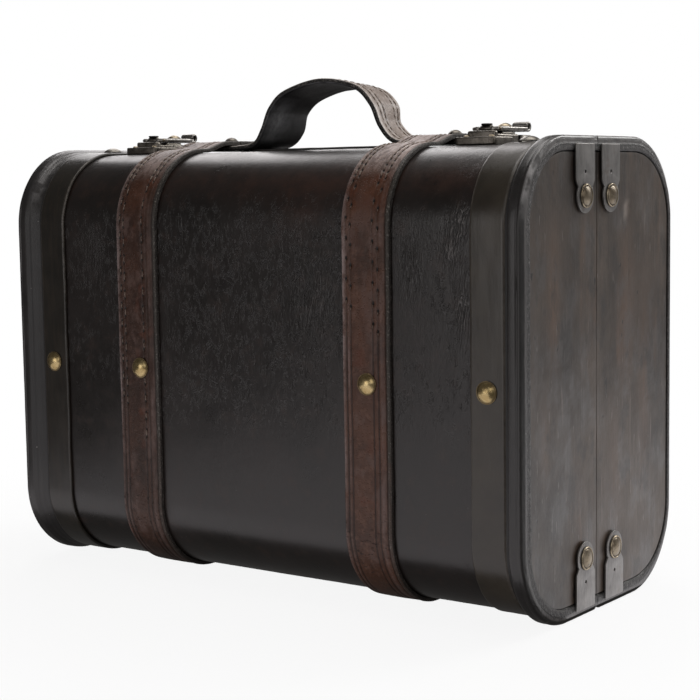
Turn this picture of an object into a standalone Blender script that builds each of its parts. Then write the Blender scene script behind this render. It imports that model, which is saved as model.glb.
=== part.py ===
"""Wooden suitcase box.

A rounded wooden case covered in leather, cut into a front and a back half that are hinged along
the bottom. It stands on its long bottom side. X runs along the length, Y through the depth with the
front at -Y, Z is up, and the origin is under the middle of the case. Lengths are in metres.
"""
import bpy
import bmesh
from math import pi, sin, cos, tan, radians, sqrt
from mathutils import Vector, Matrix

# ------------------------------------------------------------------ driving dimensions
HALF_LENGTH = 0.2098        # outer face of the end rims
HALF_DEPTH = 0.1007         # outermost face of the rims, front and back
HEIGHT = 0.300              # rims, without the handle
CORNER_R = 0.055            # radius of the rims' rounded corners
ARC_STEPS = 10              # facets in each rounded corner

SEAM_Y = -0.0054            # the case opens on this plane
SEAM_GAP = 0.0002           # each half stays this far from it
FIT = 0.0003                # gap between touching pieces

SKIN_INSET = 0.0050         # leather covered body below the rims
WALL = 0.0050               # thickness of the bent plywood
SHELL_END = 0.2045          # the shell stops here, behind the rim's turned-over lip
LINING_INSET = SKIN_INSET + WALL + FIT
LINING_T = 0.0010
LINING_END = 0.1990

PANEL_INSET = 0.0103        # outline of the wooden end board
PANEL_IN = 0.1995
PANEL_OUT = 0.2090

BAND_IN = {"left": 0.1660, "right": 0.1725}    # smooth band: inner edge, outer edge
BAND_OUT = {"left": 0.1890, "right": 0.1965}
BAND_INSET = {"left": 0.0028, "right": 0.0036}
TRIM_UNDER = SKIN_INSET - FIT
GROOVE_END = {"left": 0.1905, "right": 0.1985} # foot of the rim's sloping inner side
RIM_START = 0.2008
RIM_LAND_END = 0.2072
LIP_INSET = 0.0100          # how far the rim's lip turns over the end
LIP_BACK = SHELL_END + FIT

STRAP_X = {"left": -0.0955, "right": 0.0976}   # middle of each leather strap
STRAP_W = 0.0364
STRAP_INSET = 0.0020
STRAP_LIFT = 0.0054         # the straps ride up over the feet of the handle
LIFT_FLAT = {"front": 0.0125, "back": 0.0345}   # lifted this far from the seam, then falling away
LIFT_END = {"front": 0.0370, "back": 0.0495}

NAIL_R = 0.0070             # brass dome nails on the faces and on top
END_NAIL_R = 0.0075         # those on the end straps
NAIL_H = 0.0028             # dome above its 0.6 mm flange
NAIL_Z = 0.1480             # half-way row on the faces
FACE_NAILS = {"band_left": -0.1785, "strap_left": -0.0935, "strap_right": 0.0983, "band_right": 0.1842}
TOP_NAILS = {"band_left": (-0.1785, -0.0315), "band_right": (0.1842, -0.0445)}

END_STRAP_T = 0.0012        # metal straps on the ends
END_STRAP_W = 0.0240
END_STRAP_SQUARE = 0.0225   # length of the straight part
END_STRAP_HEAD_R = 0.0105
END_STRAP_HEAD_Z = 0.0320   # from the strap's outer end to the head's middle
END_STRAP_HOLE_R = 0.0010
END_STRAP_HOLE_Z = 0.0170
END_STRAP_START = 0.0052    # outer end below the top of the rim, and above the floor
END_STRAP_Y = {("top", "front"): -0.0240, ("top", "back"): 0.0098,
               ("bottom", "front"): -0.0237, ("bottom", "back"): 0.0152}

RELIEF_APEX = 0.0031        # wedge cut out of the rims and straps under the seam
RELIEF_ANGLE = radians(56.0)

HINGE_X = 0.0600
HINGE_Z = 0.0026            # joint axis of the two halves
HINGE_R = 0.0019
HINGE_PIN_R = 0.0008
HINGE_LEN = 0.0300
HINGE_MID = 0.0100
LEAF_TOP = SKIN_INSET - FIT
LEAF_T = 0.0010
LEAF_W = 0.0220

HANDLE_FRONT = -0.0160
HANDLE_BACK = 0.0270
HANDLE_T = 0.0034
HANDLE_FOOT = 0.1120        # end of each foot
HANDLE_REST = HEIGHT - STRAP_INSET - 0.0012     # underside of the feet
HANDLE_RIVET_X = 0.0970
HANDLE_RIVET_Y = 0.0080

LATCH_X = {"left": -0.1385, "right": 0.1450}
LATCH_AXIS_Y = -0.0305      # hinge of the hasp arm
LATCH_AXIS_Z = 0.3055
LATCH_BARREL_R = 0.0030
LATCH_BARREL_LEN = 0.0080
LATCH_PIN_R = 0.0010
LATCH_EAR_R = 0.0027
LATCH_ARM_W = 0.0205
LATCH_ARM_LOW = 0.3030
LATCH_ARM_HIGH = 0.3060
LATCH_ARM_END = {"left": 0.0020, "right": 0.0065}   # where the arm narrows to its tip
LATCH_TIP_W = 0.0112
LATCH_CURL_Y = {"left": 0.0080, "right": 0.0125}
LATCH_CURL_R = 0.0037
LATCH_CURL_T = 0.0019
LATCH_RIVET_Y = -0.0085
TOP_Z = HEIGHT - SKIN_INSET

# ------------------------------------------------------------------ clean scene and collections
for old in list(bpy.data.objects):
    bpy.data.objects.remove(old, do_unlink=True)

scene = bpy.context.scene
parts = bpy.data.collections.new("wooden_suitcase_box")
cutters = bpy.data.collections.new("cutters")
scene.collection.children.link(parts)
scene.collection.children.link(cutters)


def material(name, colour, roughness, metallic=0.0):
    mat = bpy.data.materials.new(name)
    mat.use_nodes = True
    shader = mat.node_tree.nodes["Principled BSDF"]
    shader.inputs["Base Color"].default_value = (*colour, 1.0)
    shader.inputs["Roughness"].default_value = roughness
    shader.inputs["Metallic"].default_value = metallic
    mat.diffuse_color = (*colour, 1.0)
    return mat


LEATHER_DARK = material("leather_dark", (0.022, 0.018, 0.016), 0.42)
LEATHER_BAND = material("leather_band", (0.045, 0.038, 0.032), 0.38)
LEATHER_STRAP = material("leather_strap", (0.055, 0.024, 0.016), 0.50)
WOOD_PANEL = material("wood_panel", (0.075, 0.055, 0.045), 0.55)
CLOTH_LINING = material("cloth_lining", (0.20, 0.13, 0.08), 0.90)
BRASS = material("brass", (0.48, 0.34, 0.14), 0.32, 1.0)
STEEL_AGED = material("steel_aged", (0.16, 0.15, 0.145), 0.42, 1.0)
BRONZE = material("bronze", (0.17, 0.145, 0.11), 0.38, 1.0)


# ------------------------------------------------------------------ helpers
def put(name, mesh, mat, collection=None, matrix=None, smooth=None):
    ob = bpy.data.objects.new(name, mesh)
    (collection or parts).objects.link(ob)
    if matrix is not None:
        ob.matrix_world = matrix
    if mat and not mesh.materials:
        mesh.materials.append(mat)
    if smooth:
        mesh.shade_smooth()
        mesh.set_sharp_from_angle(angle=radians(smooth))
    return ob


def mesh_of(name, bm):
    mesh = bpy.data.meshes.new(name)
    bm.to_mesh(mesh)
    bm.free()
    return mesh


def as_cutter(ob):
    ob.hide_render = True
    ob.display_type = "WIRE"
    return ob


def boolean(ob, other, operation, name):
    mod = ob.modifiers.new(name, "BOOLEAN")
    mod.operation = operation
    mod.solver = "EXACT"
    mod.object = other
    return mod


def box(name, x, y, z, mat=None, collection=None, bevel=0.0):
    """Box between pairs of X, Y and Z."""
    bm = bmesh.new()
    bmesh.ops.create_cube(bm, size=1.0)
    size = Vector((x[1] - x[0], y[1] - y[0], z[1] - z[0]))
    bmesh.ops.scale(bm, vec=size, verts=bm.verts)
    ob = put(name, mesh_of(name, bm), mat, collection)
    ob.location = ((x[0] + x[1]) / 2, (y[0] + y[1]) / 2, (z[0] + z[1]) / 2)
    if bevel:
        mod = ob.modifiers.new("round", "BEVEL")
        mod.width = bevel
        mod.segments = 1
        mod.limit_method = "ANGLE"
    return ob


def rod(name, radius, x, y, z, sides=16, mat=None, collection=None):
    """Cylinder along X between x[0] and x[1]."""
    bm = bmesh.new()
    bmesh.ops.create_cone(bm, cap_ends=True, segments=sides, radius1=radius, radius2=radius, depth=x[1] - x[0])
    ob = put(name, mesh_of(name, bm), mat, collection)
    ob.location = ((x[0] + x[1]) / 2, y, z)
    ob.rotation_euler = (0.0, pi / 2, 0.0)
    return ob


def edge_y(side):
    """Edge of a half at the seam; side is -1 for the front half and +1 for the back half."""
    return SEAM_Y + side * SEAM_GAP


def outline(side, inset):
    """Points (y, z) of a half's outline, from the seam on top round to the seam below."""
    r = CORNER_R - inset
    cy = side * (HALF_DEPTH - CORNER_R)
    pts = [(edge_y(side), HEIGHT - inset)]
    for centre_z, start in ((HEIGHT - CORNER_R, pi / 2), (CORNER_R, 0.0)):
        for k in range(ARC_STEPS + 1):
            a = start - (pi / 2) * k / ARC_STEPS
            pts.append((cy + side * r * cos(a), centre_z + r * sin(a)))
    pts.append((edge_y(side), inset))
    return pts


def chain(bm, points):
    verts = [bm.verts.new(p) for p in points]
    return verts, [bm.edges.new((a, b)) for a, b in zip(verts, verts[1:])]


def strap_rise(half):
    """Distances from the seam on top, and how far a strap is lifted there."""
    a, b = LIFT_FLAT[half], LIFT_END[half]
    rise = [(0.0, STRAP_LIFT)]
    for k in range(6):
        t = k / 5
        rise.append((a + (b - a) * t, STRAP_LIFT * (1 - t * t * (3 - 2 * t))))
    return rise


def sweep(name, side, profile, mat, smooth=None, rise=((0.0, 0.0),)):
    """Closed profile of (x, inset) points carried round a half, from the seam on top to the seam below."""
    bm = bmesh.new()
    verts = [bm.verts.new((x, edge_y(side), HEIGHT - inset + rise[0][1])) for x, inset in profile]
    edges = [bm.edges.new((a, b)) for a, b in zip(verts, verts[1:] + verts[:1])]
    first = list(edges)

    def straight(loop, step):
        out = bmesh.ops.extrude_edge_only(bm, edges=loop)["geom"]
        bmesh.ops.translate(bm, vec=step, verts=[g for g in out if isinstance(g, bmesh.types.BMVert)])
        return [g for g in out if isinstance(g, bmesh.types.BMEdge) and len(g.link_faces) == 1]

    def bend(loop, centre):
        geom = list({v for e in loop for v in e.verts}) + loop
        out = bmesh.ops.spin(bm, geom=geom, cent=centre, axis=(1, 0, 0), angle=-side * pi / 2,
                             steps=ARC_STEPS, use_duplicate=False)["geom_last"]
        return [g for g in out if isinstance(g, bmesh.types.BMEdge)]

    cy = side * (HALF_DEPTH - CORNER_R)
    flat = abs(cy - edge_y(side))
    loop = edges
    for (a, up_a), (b, up_b) in zip(rise, list(rise[1:]) + [(flat, 0.0)]):
        loop = straight(loop, (0, side * (b - a), up_b - up_a))
    loop = bend(loop, (0, cy, HEIGHT - CORNER_R))
    loop = straight(loop, (0, 0, -(HEIGHT - 2 * CORNER_R)))
    loop = bend(loop, (0, cy, CORNER_R))
    loop = straight(loop, (0, edge_y(side) - cy, 0))
    for ring in (first, loop):
        bmesh.ops.contextual_create(bm, geom=ring)
    bmesh.ops.recalc_face_normals(bm, faces=bm.faces)
    return put(name, mesh_of(name, bm), mat, smooth=smooth)


def flat_outline(name, loops, thickness, mat, matrix, collection=None):
    """Plate from closed 2D outlines; inner outlines are holes. Made a mesh with its caps welded."""
    curve = bpy.data.curves.new(name, "CURVE")
    curve.dimensions = "2D"
    curve.fill_mode = "BOTH"
    curve.extrude = thickness / 2
    for points in loops:
        spline = curve.splines.new("POLY")
        spline.points.add(len(points) - 1)
        for p, (u, v) in zip(spline.points, points):
            p.co = (u, v, 0.0, 1.0)
        spline.use_cyclic_u = True
    ob = bpy.data.objects.new(name + "_curve", curve)
    scene.collection.objects.link(ob)
    ob.matrix_world = matrix
    bpy.context.view_layer.update()
    mesh = bpy.data.meshes.new_from_object(ob.evaluated_get(bpy.context.evaluated_depsgraph_get()))
    mesh.name = name
    bm = bmesh.new()
    bm.from_mesh(mesh)
    bmesh.ops.remove_doubles(bm, verts=bm.verts, dist=1e-6)
    bmesh.ops.recalc_face_normals(bm, faces=bm.faces)
    bm.to_mesh(mesh)
    bm.free()
    world = ob.matrix_world.copy()
    bpy.data.objects.remove(ob, do_unlink=True)
    mesh.materials.clear()
    return put(name, mesh, mat, collection, world)


def plane_yz(x):
    """Curve plane turned so that its X and Y lie along world Y and Z, at height x along X."""
    return Matrix(((0, 0, 1, x), (1, 0, 0, 0), (0, 1, 0, 0), (0, 0, 0, 1)))


def dome_mesh(name, radius, height, mat):
    """Half profile of a dome nail, from the crown down to its rim and in to the axis."""
    sphere = (radius * radius + height * height) / (2 * height)
    low = 0.0006
    pts = []
    for k in range(5):
        x = radius * sin(pi / 2 * k / 4)
        pts.append((x, 0.0, sqrt(sphere * sphere - x * x) - sphere + height + low))
    pts.append((radius, 0.0, 0.0))
    pts.append((0.0, 0.0, 0.0))
    bm = bmesh.new()
    chain(bm, pts)
    mesh = mesh_of(name, bm)
    mesh.materials.append(mat)
    return mesh


def turned(name, mesh, location, toward, steps=16):
    """Dome turned about its own axis, which points along toward."""
    ob = put(name, mesh, None)
    ob.location = location
    ob.rotation_euler = Vector(toward).to_track_quat("Z", "Y").to_euler()
    mod = ob.modifiers.new("turn", "SCREW")
    mod.axis = "Z"
    mod.steps = steps
    mod.render_steps = steps
    mod.use_merge_vertices = True
    mod.merge_threshold = 0.00001
    return ob


NAIL = dome_mesh("dome_nail", NAIL_R, NAIL_H, BRASS)
END_NAIL = dome_mesh("dome_nail_end", END_NAIL_R, NAIL_H, BRASS)
RIVET = dome_mesh("dome_rivet", 0.0050, 0.0026, BRASS)
SIDES = {"front": -1, "back": 1}
ENDS = {"left": -1, "right": 1}

# ------------------------------------------------------------------ relief under the seam
relief_half = (RELIEF_APEX + 0.002) * tan(RELIEF_ANGLE)
relief = as_cutter(flat_outline(
    "seam_relief", [[(SEAM_Y - relief_half, -0.002), (SEAM_Y + relief_half, -0.002), (SEAM_Y, RELIEF_APEX)]],
    0.5, None, plane_yz(0.0), cutters))

# ------------------------------------------------------------------ shells, linings, end boards
for half, side in SIDES.items():
    # bent plywood with its leather skin: an open surface given its wall thickness inwards
    bm = bmesh.new()
    verts, edges = chain(bm, [(-SHELL_END, y, z) for y, z in outline(side, SKIN_INSET)])
    out = bmesh.ops.extrude_edge_only(bm, edges=edges)["geom"]
    bmesh.ops.translate(bm, vec=(2 * SHELL_END, 0, 0), verts=[g for g in out if isinstance(g, bmesh.types.BMVert)])
    if side > 0:
        bmesh.ops.reverse_faces(bm, faces=bm.faces)
    shell = put("shell_" + half, mesh_of("shell_" + half, bm), LEATHER_DARK, smooth=30)
    wall = shell.modifiers.new("wall", "SOLIDIFY")
    wall.thickness = WALL
    wall.offset = 1.0
    wall.use_even_offset = True

    # lining tray: the half's inside with both ends, open at the seam
    bm = bmesh.new()
    ring = [bm.verts.new((-LINING_END, y, z)) for y, z in outline(side, LINING_INSET)]
    end = bm.faces.new(ring)
    out = bmesh.ops.extrude_face_region(bm, geom=[end])["geom"]
    bmesh.ops.translate(bm, vec=(2 * LINING_END, 0, 0), verts=[g for g in out if isinstance(g, bmesh.types.BMVert)])
    bmesh.ops.recalc_face_normals(bm, faces=bm.faces)
    mouth = [f for f in bm.faces if all(abs(v.co.y - edge_y(side)) < 1e-5 for v in f.verts)]
    bmesh.ops.delete(bm, geom=mouth, context="FACES_ONLY")
    lining = put("lining_" + half, mesh_of("lining_" + half, bm), CLOTH_LINING, smooth=30)
    skin = lining.modifiers.new("cloth", "SOLIDIFY")
    skin.thickness = LINING_T
    skin.offset = -1.0
    skin.use_even_offset = True

    for end_name, sx in ENDS.items():
        tag = "_" + half + "_" + end_name
        flat_outline("end_board" + tag, [outline(side, PANEL_INSET)], PANEL_OUT - PANEL_IN, WOOD_PANEL,
                     plane_yz(sx * (PANEL_OUT + PANEL_IN) / 2))
        b_in, b_out, level, groove = BAND_IN[end_name], BAND_OUT[end_name], BAND_INSET[end_name], GROOVE_END[end_name]
        trim = sweep("end_trim" + tag, side, [(sx * x, inset) for x, inset in (
            (b_in, TRIM_UNDER), (b_in, level + 0.0005), (b_in + 0.0006, level),
            (b_out - 0.0006, level), (b_out, level + 0.0005), (b_out + 0.0003, 0.0043),
            (groove, 0.0043), (groove + (RIM_START - groove) * 0.6, 0.0026), (RIM_START, 0.0004),
            (RIM_START + 0.0008, 0.0), (RIM_LAND_END, 0.0),
            (HALF_LENGTH - 0.0008, 0.0009), (HALF_LENGTH, 0.0026), (HALF_LENGTH, LIP_INSET - 0.0008),
            (HALF_LENGTH - 0.0008, LIP_INSET), (LIP_BACK, LIP_INSET), (LIP_BACK, TRIM_UNDER))], LEATHER_BAND, smooth=35)
        boolean(trim, relief, "DIFFERENCE", "seam_relief")
        strap_mid = STRAP_X[end_name]
        strap = sweep("strap" + tag, side, [(strap_mid + x, inset) for x, inset in (
            (-STRAP_W / 2, TRIM_UNDER), (-STRAP_W / 2, STRAP_INSET + 0.0007), (-STRAP_W / 2 + 0.0010, STRAP_INSET),
            (STRAP_W / 2 - 0.0010, STRAP_INSET), (STRAP_W / 2, STRAP_INSET + 0.0007), (STRAP_W / 2, TRIM_UNDER))],
            LEATHER_STRAP, smooth=35, rise=strap_rise(half))
        boolean(strap, relief, "DIFFERENCE", "seam_relief")

# ------------------------------------------------------------------ nails on the faces and on top
def level_of(where):
    """Inset of the band or strap that a nail is driven through."""
    kind, end_name = where.split("_")
    return STRAP_INSET if kind == "strap" else BAND_INSET[end_name]


for where, x in FACE_NAILS.items():
    for half, side in SIDES.items():
        turned("nail_" + half + "_" + where, NAIL,
               (x, side * (HALF_DEPTH - level_of(where) + FIT), NAIL_Z), (0, side, 0))
for where, (x, y) in TOP_NAILS.items():
    turned("nail_top_" + where, NAIL, (x, y, HEIGHT - level_of(where) + FIT), (0, 0, 1))


# ------------------------------------------------------------------ metal straps on the ends
def end_strap_outline():
    """Outline (across, along) of a metal strap: straight part, neck and round head."""
    w = END_STRAP_W / 2
    r = END_STRAP_HEAD_R
    neck_w = 0.0086
    pts = [(-w, 0.0), (w, 0.0), (w, END_STRAP_SQUARE), (neck_w, END_STRAP_SQUARE + 0.0045)]
    # angle on the head, from its middle, where the neck meets it
    meet_v = -sqrt(r * r - neck_w * neck_w)
    for k in range(15):
        a0 = -pi / 2 + 1.05
        a = a0 + (2 * pi - 2.10) * k / 14
        pts.append((r * cos(a), END_STRAP_HEAD_Z + r * sin(a)))
    pts += [(-neck_w, END_STRAP_SQUARE + 0.0045), (-w, END_STRAP_SQUARE)]
    hole = [(END_STRAP_HOLE_R * cos(2 * pi * k / 8), END_STRAP_HOLE_Z + END_STRAP_HOLE_R * sin(2 * pi * k / 8)) for k in range(8)]
    return pts, hole


for (level, half), y in END_STRAP_Y.items():
    shape, hole = end_strap_outline()
    up = -1.0 if level == "top" else 1.0
    z0 = HEIGHT - END_STRAP_START if level == "top" else END_STRAP_START
    loops = [[(y + u, z0 + up * v) for u, v in pts] for pts in (shape, hole)]
    for end_name, sx in ENDS.items():
        tag = "_" + level + "_" + half + "_" + end_name
        base = HALF_LENGTH + FIT
        flat_outline("end_strap" + tag, loops, END_STRAP_T, STEEL_AGED, plane_yz(sx * (base + END_STRAP_T / 2)))
        turned("nail_end" + tag, END_NAIL, (sx * (base + END_STRAP_T + FIT), y, z0 + up * END_STRAP_HEAD_Z), (sx, 0, 0))


# ------------------------------------------------------------------ handle
def smooth_curve(points, per_span):
    """Catmull-Rom curve through the points."""
    pts = [points[0]] + list(points) + [points[-1]]
    out = []
    for i in range(1, len(pts) - 2):
        p0, p1, p2, p3 = (Vector(p) for p in pts[i - 1:i + 3])
        for k in range(per_span):
            t = k / per_span
            out.append(0.5 * ((2 * p1) + (p2 - p0) * t + (2 * p0 - 5 * p1 + 4 * p2 - p3) * t * t
                              + (3 * p1 - p0 - 3 * p2 + p3) * t * t * t))
    out.append(Vector(pts[-2]))
    return out


# middle of the strap's thickness, as (x, height above the foot's middle), for its front and back edges
ARCH_FRONT = [(-HANDLE_FOOT, 0.0), (-0.0730, 0.0), (-0.0568, 0.0026), (-0.0492, 0.0122), (-0.0415, 0.0272),
              (-0.0280, 0.0377), (0.0020, 0.0441), (0.0310, 0.0392), (0.0450, 0.0272), (0.0525, 0.0122),
              (0.0620, 0.0024), (0.0760, 0.0), (HANDLE_FOOT, 0.0)]
ARCH_BACK = [(-HANDLE_FOOT, 0.0), (-0.0770, 0.0), (-0.0560, 0.0022), (-0.0450, 0.0112), (-0.0405, 0.0247),
             (-0.0270, 0.0347), (-0.0010, 0.0407), (0.0240, 0.0377), (0.0375, 0.0272), (0.0400, 0.0137),
             (0.0540, 0.0026), (0.0750, 0.0), (HANDLE_FOOT, 0.0)]
HANDLE_MID_Z = HANDLE_REST + HANDLE_T / 2
front_line = smooth_curve([(x, h, 0) for x, h in ARCH_FRONT], 3)
back_line = smooth_curve([(x, h, 0) for x, h in ARCH_BACK], 3)
ACROSS = 4
bm = bmesh.new()
rows = []
for f, b in zip(front_line, back_line):
    row = []
    for j in range(ACROSS + 1):
        t = j / ACROSS
        p = f.lerp(b, t)
        row.append(bm.verts.new((p.x, HANDLE_FRONT + (HANDLE_BACK - HANDLE_FRONT) * t, HANDLE_MID_Z + p.y)))
    rows.append(row)
for a, b in zip(rows, rows[1:]):
    for j in range(ACROSS):
        bm.faces.new((a[j], b[j], b[j + 1], a[j + 1]))
handle = put("handle", mesh_of("handle", bm), LEATHER_STRAP, smooth=50)
hide = handle.modifiers.new("hide", "SOLIDIFY")
hide.thickness = HANDLE_T
hide.offset = 0.0
hide.use_even_offset = True
for end_name, sx in ENDS.items():
    turned("handle_rivet_" + end_name, RIVET,
           (sx * HANDLE_RIVET_X, HANDLE_RIVET_Y, HEIGHT - STRAP_INSET + STRAP_LIFT + FIT), (0, 0, 1))

# ------------------------------------------------------------------ hinges under the case
axis_empty = bpy.data.objects.new("lid_axis", None)
parts.objects.link(axis_empty)
axis_empty.location = (0.0, SEAM_Y, HINGE_Z)
bore_r = HINGE_PIN_R + FIT
notch = HINGE_R + 0.0006
for end_name, sx in ENDS.items():
    mid = sx * HINGE_X
    x0, x1 = mid - HINGE_LEN / 2, mid + HINGE_LEN / 2
    m0, m1 = mid - HINGE_MID / 2, mid + HINGE_MID / 2
    leaf_z = (LEAF_TOP - LEAF_T, LEAF_TOP)
    # back leaf with the middle knuckle and the pin
    back = box("hinge_back_" + end_name, (x0, x1), (SEAM_Y + notch, SEAM_Y + LEAF_W), leaf_z, BRASS)
    tongue = as_cutter(box("tongue_b_" + end_name, (m0, m1), (SEAM_Y + 0.0004, SEAM_Y + notch + 0.001), (leaf_z[0] - 0.0006, leaf_z[1] - 0.0001), None, cutters))
    knuckle = as_cutter(rod("knuckle_b_" + end_name, HINGE_R, (m0, m1), SEAM_Y, HINGE_Z, 16, None, cutters))
    pin = as_cutter(rod("pin_b_" + end_name, HINGE_PIN_R, (x0, x1), SEAM_Y, HINGE_Z, 12, None, cutters))
    for k, piece in enumerate((tongue, knuckle, pin)):
        boolean(back, piece, "UNION", "join_%d" % k)
    # front leaf with two outer knuckles bored for the pin
    front = box("hinge_front_" + end_name, (x0, x1), (SEAM_Y - LEAF_W, SEAM_Y - notch), leaf_z, BRASS)
    for k, (a, b) in enumerate(((x0, m0 - FIT), (m1 + FIT, x1))):
        tongue = as_cutter(box("tongue_f%d_%s" % (k, end_name), (a, b), (SEAM_Y - notch - 0.001, SEAM_Y - 0.0004), (leaf_z[0] - 0.0006, leaf_z[1] - 0.0001), None, cutters))
        knuckle = as_cutter(rod("knuckle_f%d_%s" % (k, end_name), HINGE_R, (a, b), SEAM_Y, HINGE_Z, 16, None, cutters))
        boolean(front, tongue, "UNION", "tongue_%d" % k)
        boolean(front, knuckle, "UNION", "knuckle_%d" % k)
    bore = as_cutter(rod("bore_" + end_name, bore_r, (x0 - 0.002, x1 + 0.002), SEAM_Y, HINGE_Z, 12, None, cutters))
    boolean(front, bore, "DIFFERENCE", "bore")

# ------------------------------------------------------------------ latches on top
for end_name, sx in ENDS.items():
    cx = LATCH_X[end_name]
    arm_end, curl_y = LATCH_ARM_END[end_name], LATCH_CURL_Y[end_name]
    z_low = TOP_Z + FIT
    barrel = (cx - LATCH_BARREL_LEN / 2, cx + LATCH_BARREL_LEN / 2)
    arm_x = (cx - LATCH_ARM_W / 2, cx + LATCH_ARM_W / 2)
    # base on the front half: block, housing under the arm, web, barrel and pin
    base = box("latch_base_" + end_name, (cx - 0.0130, cx + 0.0130), (-0.0430, -0.0190), (z_low, 0.3004), BRONZE, bevel=0.0010)
    joins = [box("base_skirt_" + end_name, (cx - 0.0096, cx + 0.0096), (-0.0240, SEAM_Y - 0.0016), (z_low + 0.0001, 0.3018), None, cutters, bevel=0.0008),
             box("base_housing_" + end_name, (cx - 0.0108, cx + 0.0108), (-0.0372, -0.0205), (0.2990, 0.3023), None, cutters, bevel=0.0008),
             box("base_web_" + end_name, (barrel[0] + 0.0002, barrel[1] - 0.0002), (LATCH_AXIS_Y - 0.0042, LATCH_AXIS_Y + 0.0022), (0.3000, LATCH_AXIS_Z), None, cutters),
             rod("base_barrel_" + end_name, LATCH_BARREL_R, barrel, LATCH_AXIS_Y, LATCH_AXIS_Z, 20, None, cutters),
             rod("base_pin_" + end_name, LATCH_PIN_R, arm_x, LATCH_AXIS_Y, LATCH_AXIS_Z, 12, None, cutters)]
    for k, piece in enumerate(joins):
        boolean(base, as_cutter(piece), "UNION", "join_%d" % k)
    # arm: plate with a notch for the barrel, two ears bored for the pin, tapered tip and rolled end
    z_mid = (LATCH_ARM_LOW + LATCH_ARM_HIGH) / 2
    w, t = LATCH_ARM_W / 2, LATCH_TIP_W / 2
    notch_w = LATCH_BARREL_LEN / 2 + FIT
    plate = [(cx + u, v) for u, v in (
        (-w, LATCH_AXIS_Y), (-notch_w, LATCH_AXIS_Y), (-notch_w, LATCH_AXIS_Y + LATCH_BARREL_R + 0.0006),
        (notch_w, LATCH_AXIS_Y + LATCH_BARREL_R + 0.0006), (notch_w, LATCH_AXIS_Y), (w, LATCH_AXIS_Y),
        (w, arm_end - 0.004), (w - 0.0012, arm_end - 0.001), (t + 0.0012, arm_end + 0.0020), (t, arm_end + 0.0034), (t, curl_y),
        (-t, curl_y), (-t, arm_end + 0.0034), (-t - 0.0012, arm_end + 0.0020), (-w + 0.0012, arm_end - 0.001), (-w, arm_end - 0.004))]
    arm = flat_outline("latch_arm_" + end_name, [plate], LATCH_ARM_HIGH - LATCH_ARM_LOW, BRONZE, Matrix.Translation((0, 0, z_mid)))
    for k, (a, b) in enumerate(((arm_x[0] + 0.0001, cx - notch_w - 0.0001), (cx + notch_w + 0.0001, arm_x[1] - 0.0001))):
        ear = as_cutter(rod("ear%d_%s" % (k, end_name), LATCH_EAR_R, (a, b), LATCH_AXIS_Y, LATCH_AXIS_Z, 20, None, cutters))
        boolean(arm, ear, "UNION", "ear_%d" % k)
    curl_z = LATCH_ARM_LOW + LATCH_CURL_R
    outer = [(curl_y + LATCH_CURL_R * cos(a), curl_z + 0.0001 + LATCH_CURL_R * sin(a))
             for a in (-pi / 2 + radians(250) * k / 16 for k in range(17))]
    inner_r = LATCH_CURL_R - LATCH_CURL_T
    inner = [(curl_y + inner_r * cos(a), curl_z + 0.0001 + inner_r * sin(a))
             for a in (-pi / 2 + radians(250) * k / 16 for k in range(16, -1, -1))]
    foot = [(curl_y - 0.0022, curl_z + 0.0001 - inner_r), (curl_y - 0.0022, LATCH_ARM_LOW + 0.0001)]
    roll = as_cutter(flat_outline("curl_" + end_name, [outer + inner + foot], LATCH_TIP_W - 0.0002, None, plane_yz(cx), cutters))
    boolean(arm, roll, "UNION", "curl")
    bore = as_cutter(rod("ear_bore_" + end_name, LATCH_PIN_R + FIT, (arm_x[0] - 0.002, arm_x[1] + 0.002), LATCH_AXIS_Y, LATCH_AXIS_Z, 12, None, cutters))
    boolean(arm, bore, "DIFFERENCE", "bore")
    turned("latch_rivet_" + end_name, RIVET, (cx, LATCH_RIVET_Y, LATCH_ARM_HIGH + FIT), (0, 0, 1))
    # keeper on the back half
    keeper = box("latch_keeper_" + end_name, (cx - 0.0100, cx + 0.0100), (SEAM_Y + 0.0016, curl_y + 0.0050), (z_low, 0.2977), BRONZE, bevel=0.0006)
    stud = as_cutter(box("keeper_stud_" + end_name, (cx - 0.0090, cx + 0.0090), (SEAM_Y + 0.0022, curl_y - 0.0020), (0.2965, 0.3018), None, cutters, bevel=0.0008))
    boolean(keeper, stud, "UNION", "stud")
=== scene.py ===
"""Looks of the wooden suitcase box: leather skin, rims, stitched straps, handle, nails, boards, latches and lining.

All lengths are metres in the CAD frame: X along the box, front at -Y, Z up.
"""
import math

import bmesh
import bpy
import numpy as np
from mathutils import Matrix, Vector


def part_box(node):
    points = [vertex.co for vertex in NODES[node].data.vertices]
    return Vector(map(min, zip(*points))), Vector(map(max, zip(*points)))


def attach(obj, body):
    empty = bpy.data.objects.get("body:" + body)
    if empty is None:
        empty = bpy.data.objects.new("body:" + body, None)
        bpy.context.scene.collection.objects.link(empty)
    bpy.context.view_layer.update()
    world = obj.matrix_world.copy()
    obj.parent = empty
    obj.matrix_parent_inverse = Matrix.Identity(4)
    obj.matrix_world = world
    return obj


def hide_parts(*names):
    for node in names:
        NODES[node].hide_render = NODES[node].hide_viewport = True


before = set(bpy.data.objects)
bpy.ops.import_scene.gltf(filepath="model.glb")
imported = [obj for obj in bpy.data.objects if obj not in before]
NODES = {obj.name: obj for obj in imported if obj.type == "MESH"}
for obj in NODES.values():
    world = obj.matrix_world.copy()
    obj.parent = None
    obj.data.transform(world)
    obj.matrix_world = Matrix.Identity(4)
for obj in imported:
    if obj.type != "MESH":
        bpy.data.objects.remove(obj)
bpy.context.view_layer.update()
scene = bpy.context.scene

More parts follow.
